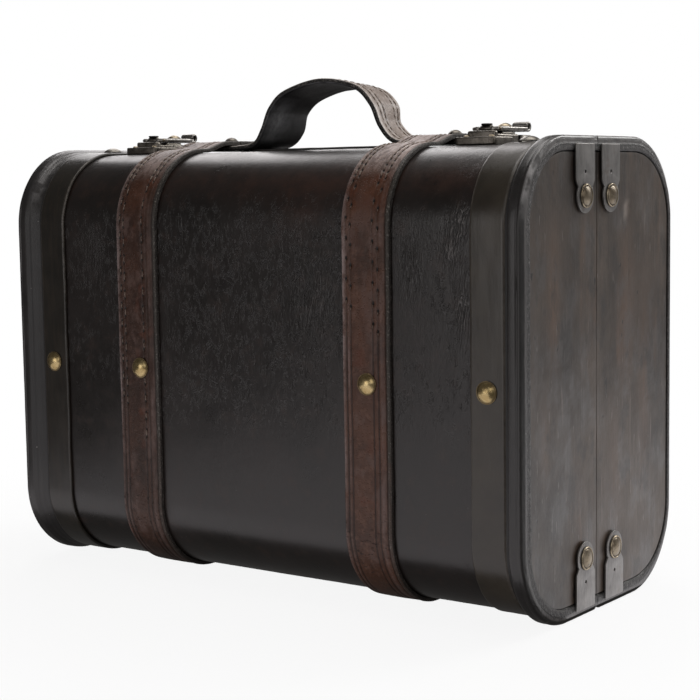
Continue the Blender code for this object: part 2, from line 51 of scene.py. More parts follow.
# ------------------------------------------------------------------ sizes, as in the CAD
HALF_LENGTH, HALF_DEPTH, HEIGHT, CORNER_R = 0.2098, 0.1007, 0.300, 0.055
CY = HALF_DEPTH - CORNER_R
SEAM_Y, SEAM_GAP = -0.0054, 0.0002
SKIN = 0.0050
BAND_IN = {"left": 0.1660, "right": 0.1725}
BAND_OUT = {"left": 0.1890, "right": 0.1965}
BAND_LEVEL = {"left": 0.0028, "right": 0.0036}
GROOVE = {"left": 0.1905, "right": 0.1985}
RIM_START = 0.2008
STRAP_X = {"left": -0.0955, "right": 0.0976}
STRAP_W, STRAP_LEVEL = 0.0364, 0.0020
LATCH_X = {"left": -0.1385, "right": 0.1450}
LATCH_CURL_Y = {"left": 0.0080, "right": 0.0125}
SIDES = {"front": -1, "back": 1}
ENDS = {"left": -1, "right": 1}
HALF_BODY = {"front": "front_half", "back": "back_half"}


# ------------------------------------------------------------------ camera, light, floor
def camera():
    az, pitch, roll = math.radians(36.12), math.radians(5.84), math.radians(-0.85)
    back = Vector((math.sin(az) * math.cos(pitch), -math.cos(az) * math.cos(pitch), math.sin(pitch)))
    right = (-back).cross(Vector((0, 0, 1))).normalized()
    up = right.cross(-back)
    r = right * math.cos(roll) + up * math.sin(roll)
    u = up * math.cos(roll) - right * math.sin(roll)
    place = Vector((0, 0, 0.15)) + r * 0.0109 + u * 0.0057 + back * 1.1656
    data = bpy.data.cameras.new("camera")
    data.lens, data.sensor_width, data.clip_start = 85.06, 36.0, 0.02
    cam = bpy.data.objects.new("camera", data)
    scene.collection.objects.link(cam)
    m = Matrix((r, u, back)).transposed().to_4x4()
    m.translation = place
    cam.matrix_world = m
    scene.camera = cam


def area(name, place, aim, size, power, colour=(1, 1, 1), shape_y=None):
    data = bpy.data.lights.new(name, "AREA")
    data.energy, data.size, data.color = power, size, colour
    if shape_y:
        data.shape, data.size_y = "RECTANGLE", shape_y
    ob = bpy.data.objects.new(name, data)
    scene.collection.objects.link(ob)
    ob.location = place
    ob.rotation_euler = (Vector(aim) - Vector(place)).to_track_quat("-Z", "Y").to_euler()
    return ob


# ------------------------------------------------------------------ shader helper
class Graph:
    """Small helper that adds nodes to one material."""

    def __init__(self, name):
        self.mat = bpy.data.materials.new(name)
        self.mat.use_nodes = True
        self.tree = self.mat.node_tree
        self.shader = self.tree.nodes["Principled BSDF"]

    def node(self, kind, inputs=None, **props):
        n = self.tree.nodes.new("ShaderNode" + kind)
        for k, v in props.items():
            setattr(n, k, v)
        for k, v in (inputs or {}).items():
            self.put(n.inputs[k], v)
        return n

    def put(self, socket, v):
        if isinstance(v, bpy.types.NodeSocket):
            self.tree.links.new(v, socket)
        elif v is not None:
            socket.default_value = (*v, 1.0) if isinstance(v, tuple) and len(v) == 3 and socket.type == "RGBA" else v

    def coords(self, scale=(1000, 1000, 1000), offset=(0, 0, 0), turn=(0, 0, 0)):
        """Object coordinates in millimetres, scaled."""
        c = self.node("TexCoord").outputs["Object"]
        return self.node("Mapping", {"Vector": c, "Scale": scale, "Location": offset, "Rotation": turn}).outputs[0]

    def scaled(self, vec, scale):
        return self.node("Mapping", {"Vector": vec, "Scale": scale}).outputs[0]

    def creases(self, turn, stretch, scale, width, offset=(0, 0, 0)):
        """Thin wavering lines that run along Z, leaning by turn."""
        v = self.scaled(self.coords(turn=(0.0, turn, 0.0), offset=offset), (1.0, 1.0, stretch))
        n = self.noise(v, scale, 2.5, 0.55, 0.5)
        return self.remap(self.math("ABSOLUTE", self.math("SUBTRACT", n, 0.5)), 0.0, width, 1.0, 0.0, True)

    def wrinkles(self, turn, stretch, scale, width, offset=(0, 0, 0), detail=2.5):
        """Fine folds along Z, leaning by turn: masks of their lit side and their dark side, used for painted highlight
        and painted shade lines.
        """
        v = self.scaled(self.coords(turn=(0.0, turn, 0.0), offset=offset), (1.0, 1.0, stretch))
        d = self.math("SUBTRACT", self.noise(v, scale, detail, 0.55, 0.25), 0.5)
        lit = self.remap(self.math("ABSOLUTE", self.math("SUBTRACT", d, width * 0.5)), 0.0, width * 0.6, 1.0, 0.0, True)
        low = self.remap(self.math("ABSOLUTE", self.math("ADD", d, width * 0.5)), 0.0, width * 0.6, 1.0, 0.0, True)
        return lit, low

    def attr(self, name):
        return self.node("Attribute", attribute_name=name).outputs["Fac"]

    def noise(self, vec, scale, detail=3.0, rough=0.5, distort=0.0, kind="FBM"):
        n = self.node("TexNoise", {"Vector": vec, "Scale": scale, "Detail": detail, "Roughness": rough, "Distortion": distort})
        n.noise_type = kind
        return n.outputs["Fac"]

    def cells(self, vec, scale, feature="DISTANCE_TO_EDGE", random=1.0):
        n = self.node("TexVoronoi", {"Vector": vec, "Scale": scale}, feature=feature)
        n.inputs["Randomness"].default_value = random
        return n.outputs["Distance"]

    def remap(self, v, a, b, c=0.0, d=1.0, smooth=False):
        n = self.node("MapRange", {"Value": v, "From Min": a, "From Max": b, "To Min": c, "To Max": d})
        if smooth:
            n.interpolation_type = "SMOOTHSTEP"
        return n.outputs[0]

    def math(self, op, a, b=None, clamp=False):
        n = self.node("Math", operation=op, use_clamp=clamp)
        self.put(n.inputs[0], a)
        if b is not None:
            self.put(n.inputs[1], b)
        return n.outputs[0]

    def mix(self, fac, a, b, blend="MIX"):
        n = self.node("Mix", data_type="RGBA", blend_type=blend)
        self.put(n.inputs[0], fac)
        self.put(n.inputs[6], a)
        self.put(n.inputs[7], b)
        return n.outputs[2]

    def bump(self, height, distance, strength=1.0, normal=None):
        n = self.node("Bump", {"Height": height, "Distance": distance, "Strength": strength})
        if normal is not None:
            self.put(n.inputs["Normal"], normal)
        return n.outputs[0]

    def vector(self, x, y, z):
        return self.node("CombineXYZ", {"X": x, "Y": y, "Z": z}).outputs[0]

    def finish(self, colour, rough, normal=None, metallic=0.0, **fixed):
        self.put(self.shader.inputs["Base Color"], colour)
        self.put(self.shader.inputs["Roughness"], rough)
        self.put(self.shader.inputs["Metallic"], metallic)
        if normal is not None:
            self.put(self.shader.inputs["Normal"], normal)
        for k, v in fixed.items():
            self.shader.inputs[k.replace("_", " ")].default_value = v
        return self.mat


def leather_skin():
    """Thin, dark, glossy leather glued over the wood, with fine upright creases and scuffs."""
    g = Graph("leather_skin")
    mm = g.coords()
    creased, fan, red = g.attr("creased"), g.attr("fan"), g.attr("red")
    blotch = g.noise(mm, 0.018, 4, 0.6)
    mottle = g.noise(mm, 0.11, 3, 0.6)
    up_lit, up_low = g.wrinkles(0.06, 0.22, 0.42, 0.060)
    sl_lit, sl_low = g.wrinkles(-0.55, 0.24, 0.36, 0.050, (31, 5, 11))
    le_lit, le_low = g.wrinkles(1.15, 0.26, 0.34, 0.046, (7, 3, 57))
    fan_lit, fan_low = g.wrinkles(-0.12, 0.16, 0.56, 0.110, (17, 3, 5), 1.5)
    one = g.remap(g.noise(mm, 0.050, 3, 0.6), 0.42, 0.55, 0.15, 1.0, True)
    two = g.remap(g.noise(g.coords(offset=(80, 20, 40)), 0.055, 3, 0.6), 0.47, 0.58, 0.0, 1.0, True)
    three = g.remap(g.noise(g.coords(offset=(10, 70, 90)), 0.060, 3, 0.6), 0.47, 0.57, 0.0, 1.0, True)
    broken = g.remap(g.noise(g.coords((1000, 1000, 500)), 0.22, 2, 0.5), 0.44, 0.56, 0.0, 1.0, True)

    def gathered(up, slant, lean, fans):
        most = g.math("MAXIMUM", g.math("MULTIPLY", up, one), g.math("MAXIMUM", g.math("MULTIPLY", slant, two), g.math("MULTIPLY", lean, three)))
        most = g.math("MULTIPLY", g.math("MULTIPLY", most, creased), broken)
        return g.math("MAXIMUM", most, g.math("MULTIPLY", fans, fan))

    # crease lips, painted lighter as painted highlight, and crease valleys, painted darker as painted shade
    line = gathered(up_lit, sl_lit, le_lit, fan_lit)
    crease_valley_shade = gathered(up_low, sl_low, le_low, fan_low)
    pores = g.noise(mm, 1.1, 2, 0.55)
    colour = g.mix(g.remap(blotch, 0.35, 0.70), (0.0058, 0.0040, 0.0032), (0.0135, 0.0098, 0.0086))
    colour = g.mix(g.remap(mottle, 0.52, 0.74, 0.0, 0.55, True), colour, (0.0200, 0.0112, 0.0080))
    colour = g.mix(g.math("MULTIPLY", red, g.remap(mottle, 0.3, 0.6, 0.3, 1.0)), colour, (0.036, 0.0150, 0.0092))
    # painted shade in the crease valleys
    colour = g.mix(g.math("MULTIPLY", crease_valley_shade, 0.70), colour, (0.0018, 0.0014, 0.0013))
    # painted highlight on the crease lips, strongest in the fans
    colour = g.mix(g.math("MULTIPLY", line, g.remap(fan, 0.2, 0.8, 0.36, 0.95)), colour, (0.066, 0.060, 0.058))
    colour = g.mix(g.math("MULTIPLY", line, g.remap(fan, 0.25, 0.75, 0.0, 0.75)), colour, (0.150, 0.140, 0.136))
    speck = g.remap(g.noise(mm, 0.45, 1, 0.5), 0.795, 0.82, 0.0, 1.0)
    colour = g.mix(g.math("MULTIPLY", speck, 0.6), colour, (0.12, 0.11, 0.10))
    rough = g.math("ADD", g.remap(blotch, 0.3, 0.7, 0.25, 0.31), g.math("MULTIPLY", g.remap(mottle, 0.3, 0.7), 0.06))
    rough = g.math("ADD", rough, g.math("MULTIPLY", line, 0.10))
    h = g.math("ADD", g.math("MULTIPLY", pores, 0.18), g.math("MULTIPLY", line, 2.6))
    h = g.math("ADD", h, g.math("MULTIPLY", crease_valley_shade, -2.2))
    h = g.math("ADD", h, g.math("MULTIPLY", g.math("MULTIPLY", g.noise(g.coords((1000, 1000, 420)), 0.42, 3, 0.6), g.remap(creased, 0.0, 1.0, 0.5, 1.0)), 1.1))
    normal = g.bump(h, 0.00016, 0.85)
    return g.finish(colour, rough, normal, IOR=1.5, Coat_Weight=0.10, Coat_Roughness=0.20)


def tinted(colour, lift):
    return tuple(c * lift for c in colour)


def leather_band(name="leather_band", lift=1.0):
    """Smooth, greyer leather of the end bands."""
    g = Graph(name)
    mm = g.coords()
    grain = g.noise(g.coords((1000, 1000, 130)), 0.35, 4, 0.6)
    tone = g.noise(mm, 0.03, 3, 0.6)
    pores = g.noise(mm, 1.3, 2, 0.5)
    colour = g.mix(g.remap(tone, 0.3, 0.7), tinted((0.0100, 0.0080, 0.0056), lift), tinted((0.0215, 0.0172, 0.0118), lift))
    colour = g.mix(g.remap(grain, 0.45, 0.75, 0.0, 0.45), colour, (0.030, 0.0205, 0.0135))
    # wear and painted highlight: the band's edges are painted lighter
    wear_and_highlight = g.attr("wear_and_highlight")
    colour = g.mix(g.math("MULTIPLY", wear_and_highlight, g.remap(g.noise(mm, 0.25, 3, 0.6), 0.3, 0.6, 0.25, 1.0)), colour, (0.115, 0.100, 0.086))
    rough = g.math("ADD", g.remap(tone, 0.3, 0.7, 0.27, 0.35), g.math("MULTIPLY", wear_and_highlight, 0.14))
    h = g.math("ADD", g.math("MULTIPLY", grain, 0.8), g.math("MULTIPLY", pores, 0.4))
    return g.finish(colour, rough, g.bump(h, 0.00013, 0.7), Coat_Weight=0.10, Coat_Roughness=0.25)


def leather_rim():
    """Black leather pulled round the raised rim, raw and crumbly where it is cut on the end."""
    g = Graph("leather_rim")
    mm = g.coords()
    tone = g.noise(mm, 0.05, 3, 0.6)
    lumps = g.noise(mm, 0.42, 4, 0.65)
    raw, wear_and_highlight, dark = g.attr("raw"), g.attr("wear_and_highlight"), g.attr("dark")
    crumbs = g.noise(g.coords((1000, 1000, 620)), 0.62, 4, 0.75)
    streak = g.noise(g.coords((1000, 1000, 90)), 0.38, 3, 0.6)
    colour = g.mix(g.remap(tone, 0.3, 0.7), (0.0100, 0.0088, 0.0086), (0.0190, 0.0168, 0.0160))
    # wear and painted highlight: lighter rim slope, band edges and lip ridge
    colour = g.mix(g.math("MULTIPLY", wear_and_highlight, g.remap(streak, 0.30, 0.66, 0.35, 1.0, True)), colour, (0.125, 0.117, 0.114))
    fibre = g.remap(crumbs, 0.50, 0.62, 0.0, 1.0, True)
    colour = g.mix(g.math("MULTIPLY", raw, fibre), colour, (0.082, 0.076, 0.074))
    colour = g.mix(g.math("MULTIPLY", raw, g.remap(crumbs, 0.38, 0.50, 1.0, 0.0, True)), colour, (0.005, 0.0046, 0.0046))
    # painted shade in the gaps, along the corner crease and on the left slope
    colour = g.mix(dark, colour, (0.0030, 0.0027, 0.0027))
    # painted highlight on the rim's bead, lip line and left slope in the bend
    colour = g.mix(g.math("MULTIPLY", g.attr("lit"), g.remap(g.noise(mm, 0.15, 2, 0.5), 0.38, 0.58, 0.25, 1.0, True)), colour, (0.36, 0.35, 0.35))
    speck = g.remap(g.noise(mm, 0.38, 1, 0.5), 0.79, 0.82, 0.0, 1.0)
    colour = g.mix(speck, colour, (0.22, 0.21, 0.20))
    rough = g.math("ADD", g.remap(tone, 0.3, 0.7, 0.30, 0.40), g.math("MULTIPLY", raw, 0.22))
    rough = g.math("ADD", rough, g.math("MULTIPLY", dark, 0.3))
    h = g.math("ADD", g.math("MULTIPLY", lumps, 1.1), g.math("MULTIPLY", g.math("MULTIPLY", raw, crumbs), 7.0))
    return g.finish(colour, rough, g.bump(h, 0.00022, 0.9), Coat_Weight=0.12, Coat_Roughness=0.2)


def strap_leather(name="strap_leather", handle=False, lift=1.0):
    """Red brown strap leather: pitted, lighter along the edges from wear and painted highlight, with a painted
    highlight on the top bend, dark round the sewing.
    """
    g = Graph(name)
    mm = g.coords()
    tone = g.noise(mm, 0.035, 4, 0.6)
    fine = g.noise(mm, 0.28, 4, 0.65)
    pits = g.cells(mm, 0.62, "F1")
    groove, edge, cut, pit = g.attr("groove"), g.attr("edge"), g.attr("cut"), g.attr("pit")
    # the handle's colours are a far lighter copy of the strap leather: painted light standing for strong light on the
    # handle
    if handle:
        low, high, lit, rust, pale = (0.135, 0.100, 0.082), (0.340, 0.275, 0.240), (0.500, 0.430, 0.390), (0.150, 0.090, 0.062), (0.66, 0.61, 0.57)
    else:
        low, high, lit, rust, pale = (0.0230, 0.0086, 0.0046), (0.0560, 0.0235, 0.0130), (0.084, 0.044, 0.031), (0.090, 0.0250, 0.0100), (0.265, 0.205, 0.195)
    low, high, lit = tinted(low, lift), tinted(high, lift), tinted(lit, lift)
    colour = g.mix(g.remap(tone, 0.32, 0.70), low, high)
    colour = g.mix(g.remap(fine, 0.48, 0.72, 0.0, 0.60, True), colour, lit)
    red = g.remap(g.noise(mm, 0.06, 2, 0.5), 0.58, 0.72, 0.0, 0.55, True)
    colour = g.mix(red, colour, rust)
    if not handle:
        pink = g.remap(g.noise(g.coords((1000, 1000, 600), (5, 9, 2)), 0.085, 3, 0.6), 0.50, 0.66, 0.0, 0.60, True)
        colour = g.mix(pink, colour, (0.098, 0.060, 0.050))
        murk = g.remap(g.noise(g.coords((1000, 1000, 500), (55, 19, 32)), 0.070, 3, 0.6), 0.54, 0.68, 0.0, 0.38, True)
        colour = g.mix(murk, colour, (0.0200, 0.0110, 0.0062))
        colour = g.mix(g.math("MULTIPLY", g.attr("warm"), g.remap(fine, 0.3, 0.7, 0.3, 0.8)), colour, (0.088, 0.028, 0.0110))
    # lighter edges: wear, and on the straps also a painted highlight on the rounded edges and ridges
    wear_and_highlight = g.math("MULTIPLY", edge, g.remap(g.noise(mm, 0.17, 4, 0.7), 0.34, 0.56, 0.25, 1.0, True))
    colour = g.mix(wear_and_highlight, colour, pale)
    if not handle:
        # painted highlight on the strap's top bend, streaked
        streaks = g.remap(g.noise(g.coords((1000, 300, 300), (5, 0, 0)), 0.40, 3, 0.6), 0.35, 0.62, 0.30, 1.0, True)
        colour = g.mix(g.math("MULTIPLY", g.attr("bend_highlight"), streaks), colour, (0.43, 0.335, 0.305))
        bead = g.mix(g.remap(g.noise(mm, 0.75, 2, 0.6), 0.56, 0.66, 0.0, 1.0, True), (0.034, 0.0300, 0.0250), (0.135, 0.125, 0.112))
        colour = g.mix(g.attr("bead"), colour, bead)
    colour = g.mix(g.math("MULTIPLY", groove, 0.92 if handle else 0.86), colour, (0.0110, 0.0066, 0.0052))
    crack = g.remap(g.noise(g.coords((260, 1000, 1000)), 0.75, 3, 0.6), 0.62, 0.68, 0.0, 0.7, True)
    crack = g.math("MULTIPLY", crack, g.attr("low"))
    colour = g.mix(crack, colour, (0.008, 0.005, 0.004))
    # stitch holes painted near black: painted shade in the holes
    colour = g.mix(g.remap(pit, 0.25, 0.70, 0.0, 1.0, True), colour, (0.0042, 0.0028, 0.0022))
    rough_side = g.mix(g.remap(g.noise(mm, 0.9, 3, 0.7), 0.50, 0.64, 0.0, 1.0, True), (0.0095, 0.0072, 0.0062) if not handle else (0.0085, 0.0080, 0.0080), (0.070, 0.060, 0.052) if not handle else (0.150, 0.135, 0.122))
    colour = g.mix(cut, colour, rough_side)
    rough = g.math("ADD", g.remap(fine, 0.3, 0.7, 0.38, 0.54), g.math("MULTIPLY", cut, 0.25))
    h = g.math("ADD", g.math("MULTIPLY", fine, 1.7), g.math("MULTIPLY", g.remap(pits, 0.0, 0.35, -1.3, 0.0), g.remap(tone, 0.4, 0.6, 0.5, 1.4)))
    h = g.math("ADD", h, g.math("MULTIPLY", crack, -1.5))
    h = g.math("ADD", h, g.math("MULTIPLY", g.math("MULTIPLY", cut, g.noise(mm, 0.9, 3, 0.7)), 5.0))
    return g.finish(colour, rough, g.bump(h, 0.00020, 0.9), Specular_IOR_Level=0.34 if not handle else 0.5)


def suede_black():
    g = Graph("suede_black")
    mm = g.coords()
    a, b = g.noise(mm, 0.06, 3, 0.6), g.noise(mm, 0.8, 3, 0.7)
    colour = g.mix(g.remap(a, 0.3, 0.7), (0.0070, 0.0070, 0.0076), (0.0120, 0.0118, 0.0126))
    streak = g.remap(g.noise(g.coords((260, 1000, 1000)), 0.5, 3, 0.6), 0.60, 0.72, 0.0, 0.25, True)
    colour = g.mix(streak, colour, (0.036, 0.036, 0.040))
    rub = g.math("MULTIPLY", g.attr("rub"), g.remap(g.noise(mm, 0.12, 4, 0.6), 0.34, 0.62, 0.25, 1.0, True))
    colour = g.mix(rub, colour, (0.180, 0.181, 0.192))
    return g.finish(colour, g.remap(b, 0.3, 0.7, 0.34, 0.50), g.bump(g.math("ADD", g.math("MULTIPLY", b, 0.35), a), 0.00014, 0.6))


def thread():
    g = Graph("thread")
    mm = g.coords()
    twist = g.noise(mm, 2.2, 2, 0.6)
    dull = g.mix(g.remap(g.noise(mm, 0.05, 2, 0.5), 0.35, 0.65), (0.062, 0.036, 0.026), (0.125, 0.084, 0.064))
    lit = g.mix(g.remap(twist, 0.35, 0.65), (0.200, 0.155, 0.122), (0.360, 0.300, 0.250))
    colour = g.mix(g.attr("tone"), dull, lit)
    return g.finish(colour, 0.70, g.bump(twist, 0.0002, 0.9))


def board_wood():
    """Dark stained end board: cloudy polish, faint upright grain, worn reddish streaks, small knocks."""
    g = Graph("board_wood")
    mm = g.coords()
    grain = g.noise(g.coords((1000, 1000, 34)), 0.75, 5, 0.62, 0.1)
    broad = g.noise(g.coords((1000, 1000, 200)), 0.040, 4, 0.6, 0.2)
    cloud = g.noise(mm, 0.016, 4, 0.6)
    fine = g.noise(g.coords((1000, 1000, 60)), 2.1, 3, 0.7)
    mist = g.noise(g.coords((1000, 1000, 620), (9, 4, 77)), 0.036, 4, 0.62)
    colour = g.mix(g.remap(cloud, 0.32, 0.68), (0.0185, 0.0135, 0.0105), (0.060, 0.0430, 0.0315))
    colour = g.mix(g.remap(broad, 0.48, 0.72, 0.0, 0.55, True), colour, (0.092, 0.068, 0.051))
    red = g.remap(g.noise(g.coords((1000, 1000, 160), (40, 13, 7)), 0.050, 4, 0.65), 0.54, 0.74, 0.0, 0.55, True)
    red = g.math("MAXIMUM", red, g.math("MULTIPLY", g.attr("red"), g.remap(grain, 0.35, 0.62, 0.35, 1.0, True)))
    colour = g.mix(red, colour, (0.128, 0.072, 0.043))
    colour = g.mix(g.remap(mist, 0.48, 0.66, 0.0, 0.55, True), colour, (0.078, 0.074, 0.074))
    shade = g.noise(g.coords((1000, 1000, 560), (61, 24, 17)), 0.050, 4, 0.65)
    colour = g.mix(g.remap(shade, 0.52, 0.66, 0.0, 0.65, True), colour, (0.0200, 0.0165, 0.0145))
    colour = g.mix(g.remap(grain, 0.52, 0.72, 0.0, 0.30, True), colour, (0.040, 0.035, 0.032))
    colour = g.mix(g.remap(fine, 0.56, 0.74, 0.0, 0.22), colour, (0.175, 0.155, 0.140))
    pale = g.remap(g.noise(g.coords((1000, 1000, 60), (3, 9, 1)), 0.30, 3, 0.6), 0.66, 0.76, 0.0, 0.42)
    colour = g.mix(pale, colour, (0.205, 0.172, 0.150))
    scratch = g.remap(g.noise(g.coords((1000, 1000, 110), (13, 2, 5)), 0.62, 2, 0.5), 0.715, 0.74, 0.0, 0.55)
    colour = g.mix(scratch, colour, (0.22, 0.20, 0.185))
    nick = g.remap(g.noise(g.coords((1000, 1000, 420)), 0.19, 2, 0.5), 0.725, 0.745, 0.0, 1.0)
    colour = g.mix(nick, colour, (0.014, 0.0105, 0.0090))
    dent = g.attr("dent")
    colour = g.mix(g.math("MULTIPLY", dent, 0.90), colour, (0.28, 0.235, 0.205))
    rough = g.math("ADD", g.remap(mist, 0.38, 0.64, 0.46, 0.33), g.remap(grain, 0.3, 0.7, -0.02, 0.05))
    h = g.math("ADD", g.math("MULTIPLY", grain, -0.8), g.math("MULTIPLY", nick, -1.5))
    h = g.math("ADD", h, g.math("MULTIPLY", fine, 0.35))
    h = g.math("ADD", h, g.math("MULTIPLY", g.noise(mm, 0.055, 3, 0.55), 6.5))
    return g.finish(colour, rough, g.bump(h, 0.00015, 0.6), Coat_Weight=0.10, Coat_Roughness=0.28)


def raw_wood():
    """Cut edge and inner face of the bent plywood."""
    g = Graph("raw_wood")
    layer = g.node("TexWave", {"Vector": g.coords(), "Scale": 0.09, "Distortion": 0.6, "Detail": 2.0}).outputs["Fac"]
    grain = g.noise(g.coords((60, 1000, 1000)), 0.6, 4, 0.6)
    colour = g.mix(g.remap(layer, 0.3, 0.7), (0.040, 0.024, 0.014), (0.072, 0.044, 0.026))
    colour = g.mix(g.remap(grain, 0.45, 0.7, 0.0, 0.6), colour, (0.026, 0.016, 0.010))
    return g.finish(colour, g.remap(grain, 0.3, 0.7, 0.55, 0.72), g.bump(grain, 0.0002, 0.6))


def metal(name, dark, light, patina, rough=(0.28, 0.48), pit=0.35):
    """Worn metal: bright on top, dark in the recesses that the dirt attribute marks."""
    g = Graph(name)
    mm = g.coords()
    tone, fine = g.noise(mm, 0.16, 4, 0.65), g.noise(mm, 1.3, 4, 0.7)
    dirt = g.attr("dirt")
    colour = g.mix(g.remap(tone, 0.34, 0.66), dark, light)
    stain = g.remap(g.noise(mm, 0.33, 3, 0.7), 0.52, 0.70, 0.0, 0.55, True)
    colour = g.mix(stain, colour, patina)
    colour = g.mix(dirt, colour, patina)
    rough_ = g.math("ADD", g.remap(tone, 0.3, 0.7, *rough), g.math("MULTIPLY", g.math("ADD", dirt, stain), 0.18))
    h = g.math("ADD", fine, g.math("MULTIPLY", tone, 2.0))
    return g.finish(colour, rough_, g.bump(h, 0.0001, pit), g.math("SUBTRACT", 1.0, g.math("MULTIPLY", dirt, 0.35)))


def brushed(name, dark, light, patina):
    """Blackened sheet steel of the end straps, rubbed with upright scratches."""
    g = Graph(name)
    mm = g.coords()
    scratch = g.noise(g.coords((1000, 1000, 70)), 0.9, 4, 0.7)
    tone = g.noise(mm, 0.07, 4, 0.6)
    colour = g.mix(g.remap(tone, 0.32, 0.68), dark, light)
    colour = g.mix(g.remap(scratch, 0.45, 0.70, 0.0, 0.7), colour, patina)
    warm = g.remap(g.noise(mm, 0.12, 3, 0.6), 0.56, 0.70, 0.0, 0.45, True)
    colour = g.mix(warm, colour, (0.17, 0.135, 0.115))
    rough = g.remap(scratch, 0.3, 0.7, 0.36, 0.50)
    return g.finish(colour, rough, g.bump(g.math("ADD", scratch, g.math("MULTIPLY", tone, 2.0)), 0.00008, 0.5), 0.85)


def lining_cloth():
    """Plain woven cotton, brown, with a slight stripe from the uneven yarn."""
    g = Graph("lining_cloth")
    a, b = g.attr("u"), g.attr("v")
    wx = g.math("SINE", g.math("MULTIPLY", a, 2 * math.pi / 0.0009))
    wy = g.math("SINE", g.math("MULTIPLY", b, 2 * math.pi / 0.0009))
    weave = g.math("MULTIPLY", wx, wy)
    yarn = g.noise(g.vector(g.math("MULTIPLY", a, 900.0), g.math("MULTIPLY", b, 40.0), 0.0), 1.0, 2, 0.5)
    tone = g.noise(g.coords(), 0.02, 3, 0.6)
    colour = g.mix(g.remap(weave, -1.0, 1.0), (0.110, 0.066, 0.036), (0.205, 0.132, 0.080))
    colour = g.mix(g.remap(yarn, 0.4, 0.7, 0.0, 0.5), colour, (0.250, 0.170, 0.108))
    colour = g.mix(g.remap(tone, 0.45, 0.75, 0.0, 0.4), colour, (0.075, 0.045, 0.026))
    return g.finish(colour, 0.9, g.bump(g.math("ADD", weave, yarn), 0.00016, 0.7), Sheen_Weight=0.25)


def tape_cloth():
    g = Graph("tape_cloth")
    s, u = g.attr("s"), g.attr("u")
    rope = g.math("SINE", g.math("ADD", g.math("MULTIPLY", s, 2 * math.pi / 0.0016), g.math("MULTIPLY", u, 2 * math.pi / 0.0011)))
    colour = g.mix(g.remap(rope, -0.6, 1.0), (0.035, 0.018, 0.010), (0.140, 0.083, 0.045))
    fuzz = g.noise(g.coords(), 1.5, 3, 0.7)
    return g.finish(colour, 0.85, g.bump(g.math("ADD", rope, fuzz), 0.00030, 0.8), Sheen_Weight=0.2)


M = {}


def materials():
    M["skin"] = leather_skin()
    M["band_left"] = leather_band("leather_band_left", 0.70)
    M["band_right"] = leather_band("leather_band_right", 1.80)
    M["rim"] = leather_rim()
    # the two strap copies differ in lightness, the right one lighter: painted light falling from the right
    M["strap_left"] = strap_leather("strap_leather_left", False, 0.88)
    M["strap_right"] = strap_leather("strap_leather_right", False, 1.55)
    # lighter copy of the strap leather for the handle: painted light
    M["handle"] = strap_leather("handle_leather", True)
    M["suede"] = suede_black()
    M["thread"] = thread()
    M["board"] = board_wood()
    M["raw_wood"] = raw_wood()
    M["brass"] = metal("aged_brass", (0.34, 0.245, 0.105), (0.58, 0.455, 0.235), (0.075, 0.052, 0.028), (0.18, 0.34), 0.5)
    M["brass_end"] = metal("aged_brass_dull", (0.20, 0.155, 0.10), (0.42, 0.36, 0.265), (0.075, 0.060, 0.046), (0.22, 0.38), 0.5)
    M["brass_rim"] = metal("aged_brass_rim", (0.50, 0.45, 0.36), (0.72, 0.68, 0.60), (0.16, 0.135, 0.105), (0.20, 0.34), 0.4)
    M["steel"] = brushed("aged_steel", (0.150, 0.145, 0.142), (0.255, 0.246, 0.238), (0.33, 0.318, 0.305))
    M["steel_edge"] = brushed("aged_steel_edge", (0.38, 0.37, 0.36), (0.56, 0.55, 0.53), (0.25, 0.24, 0.23))
    M["bronze"] = metal("antique_bronze", (0.090, 0.081, 0.070), (0.205, 0.188, 0.166), (0.026, 0.022, 0.018), (0.26, 0.44), 0.9)
    M["bronze_edge"] = metal("antique_bronze_edge", (0.150, 0.138, 0.118), (0.300, 0.282, 0.250), (0.050, 0.046, 0.040), (0.24, 0.40), 0.8)
    M["bronze_light"] = metal("antique_bronze_light", (0.180, 0.171, 0.158), (0.370, 0.355, 0.335), (0.060, 0.055, 0.049), (0.24, 0.40), 0.8)
    M["bronze_shine"] = metal("antique_bronze_shine", (0.420, 0.405, 0.380), (0.640, 0.625, 0.600), (0.130, 0.122, 0.110), (0.20, 0.34), 0.7)
    M["bronze_dark"] = metal("bronze_blackened", (0.020, 0.019, 0.018), (0.060, 0.056, 0.050), (0.012, 0.011, 0.010), (0.34, 0.50), 0.5)
    M["lining"] = lining_cloth()
    M["tape"] = tape_cloth()


# ------------------------------------------------------------------ numbers that look random but repeat
def rnd(i, j, seed):
    with np.errstate(over="ignore"):
        n = (np.asarray(i).astype(np.int64).astype(np.uint64) * np.uint64(374761393)
             + np.asarray(j).astype(np.int64).astype(np.uint64) * np.uint64(668265263)
             + np.uint64(seed * 97463477)) & np.uint64(0xFFFFFFFF)
        n = ((n ^ (n >> np.uint64(13))) * np.uint64(1274126177)) & np.uint64(0xFFFFFFFF)
    return ((n ^ (n >> np.uint64(16))) & np.uint64(0xFFFF)).astype(float) / 65535.0


def noise(u, v, seed=0):
    """Smooth value noise between -1 and 1."""
    u, v = np.broadcast_arrays(np.asarray(u, float), np.asarray(v, float))
    iu, iv = np.floor(u), np.floor(v)
    fu, fv = u - iu, v - iv
    fu, fv = fu * fu * (3 - 2 * fu), fv * fv * (3 - 2 * fv)
    low = rnd(iu, iv, seed) * (1 - fu) + rnd(iu + 1, iv, seed) * fu
    high = rnd(iu, iv + 1, seed) * (1 - fu) + rnd(iu + 1, iv + 1, seed) * fu
    return (low * (1 - fv) + high * fv) * 2 - 1


def fbm(u, v, seed=0, octaves=3):
    total, size, gain = 0.0, 0.0, 1.0
    for k in range(octaves):
        total = total + noise(u * 2 ** k, v * 2 ** k, seed + k) * gain
        size += gain
        gain *= 0.5
    return total / size


def bell(x, centre, width):
    return np.exp(-((x - centre) / width) ** 2)


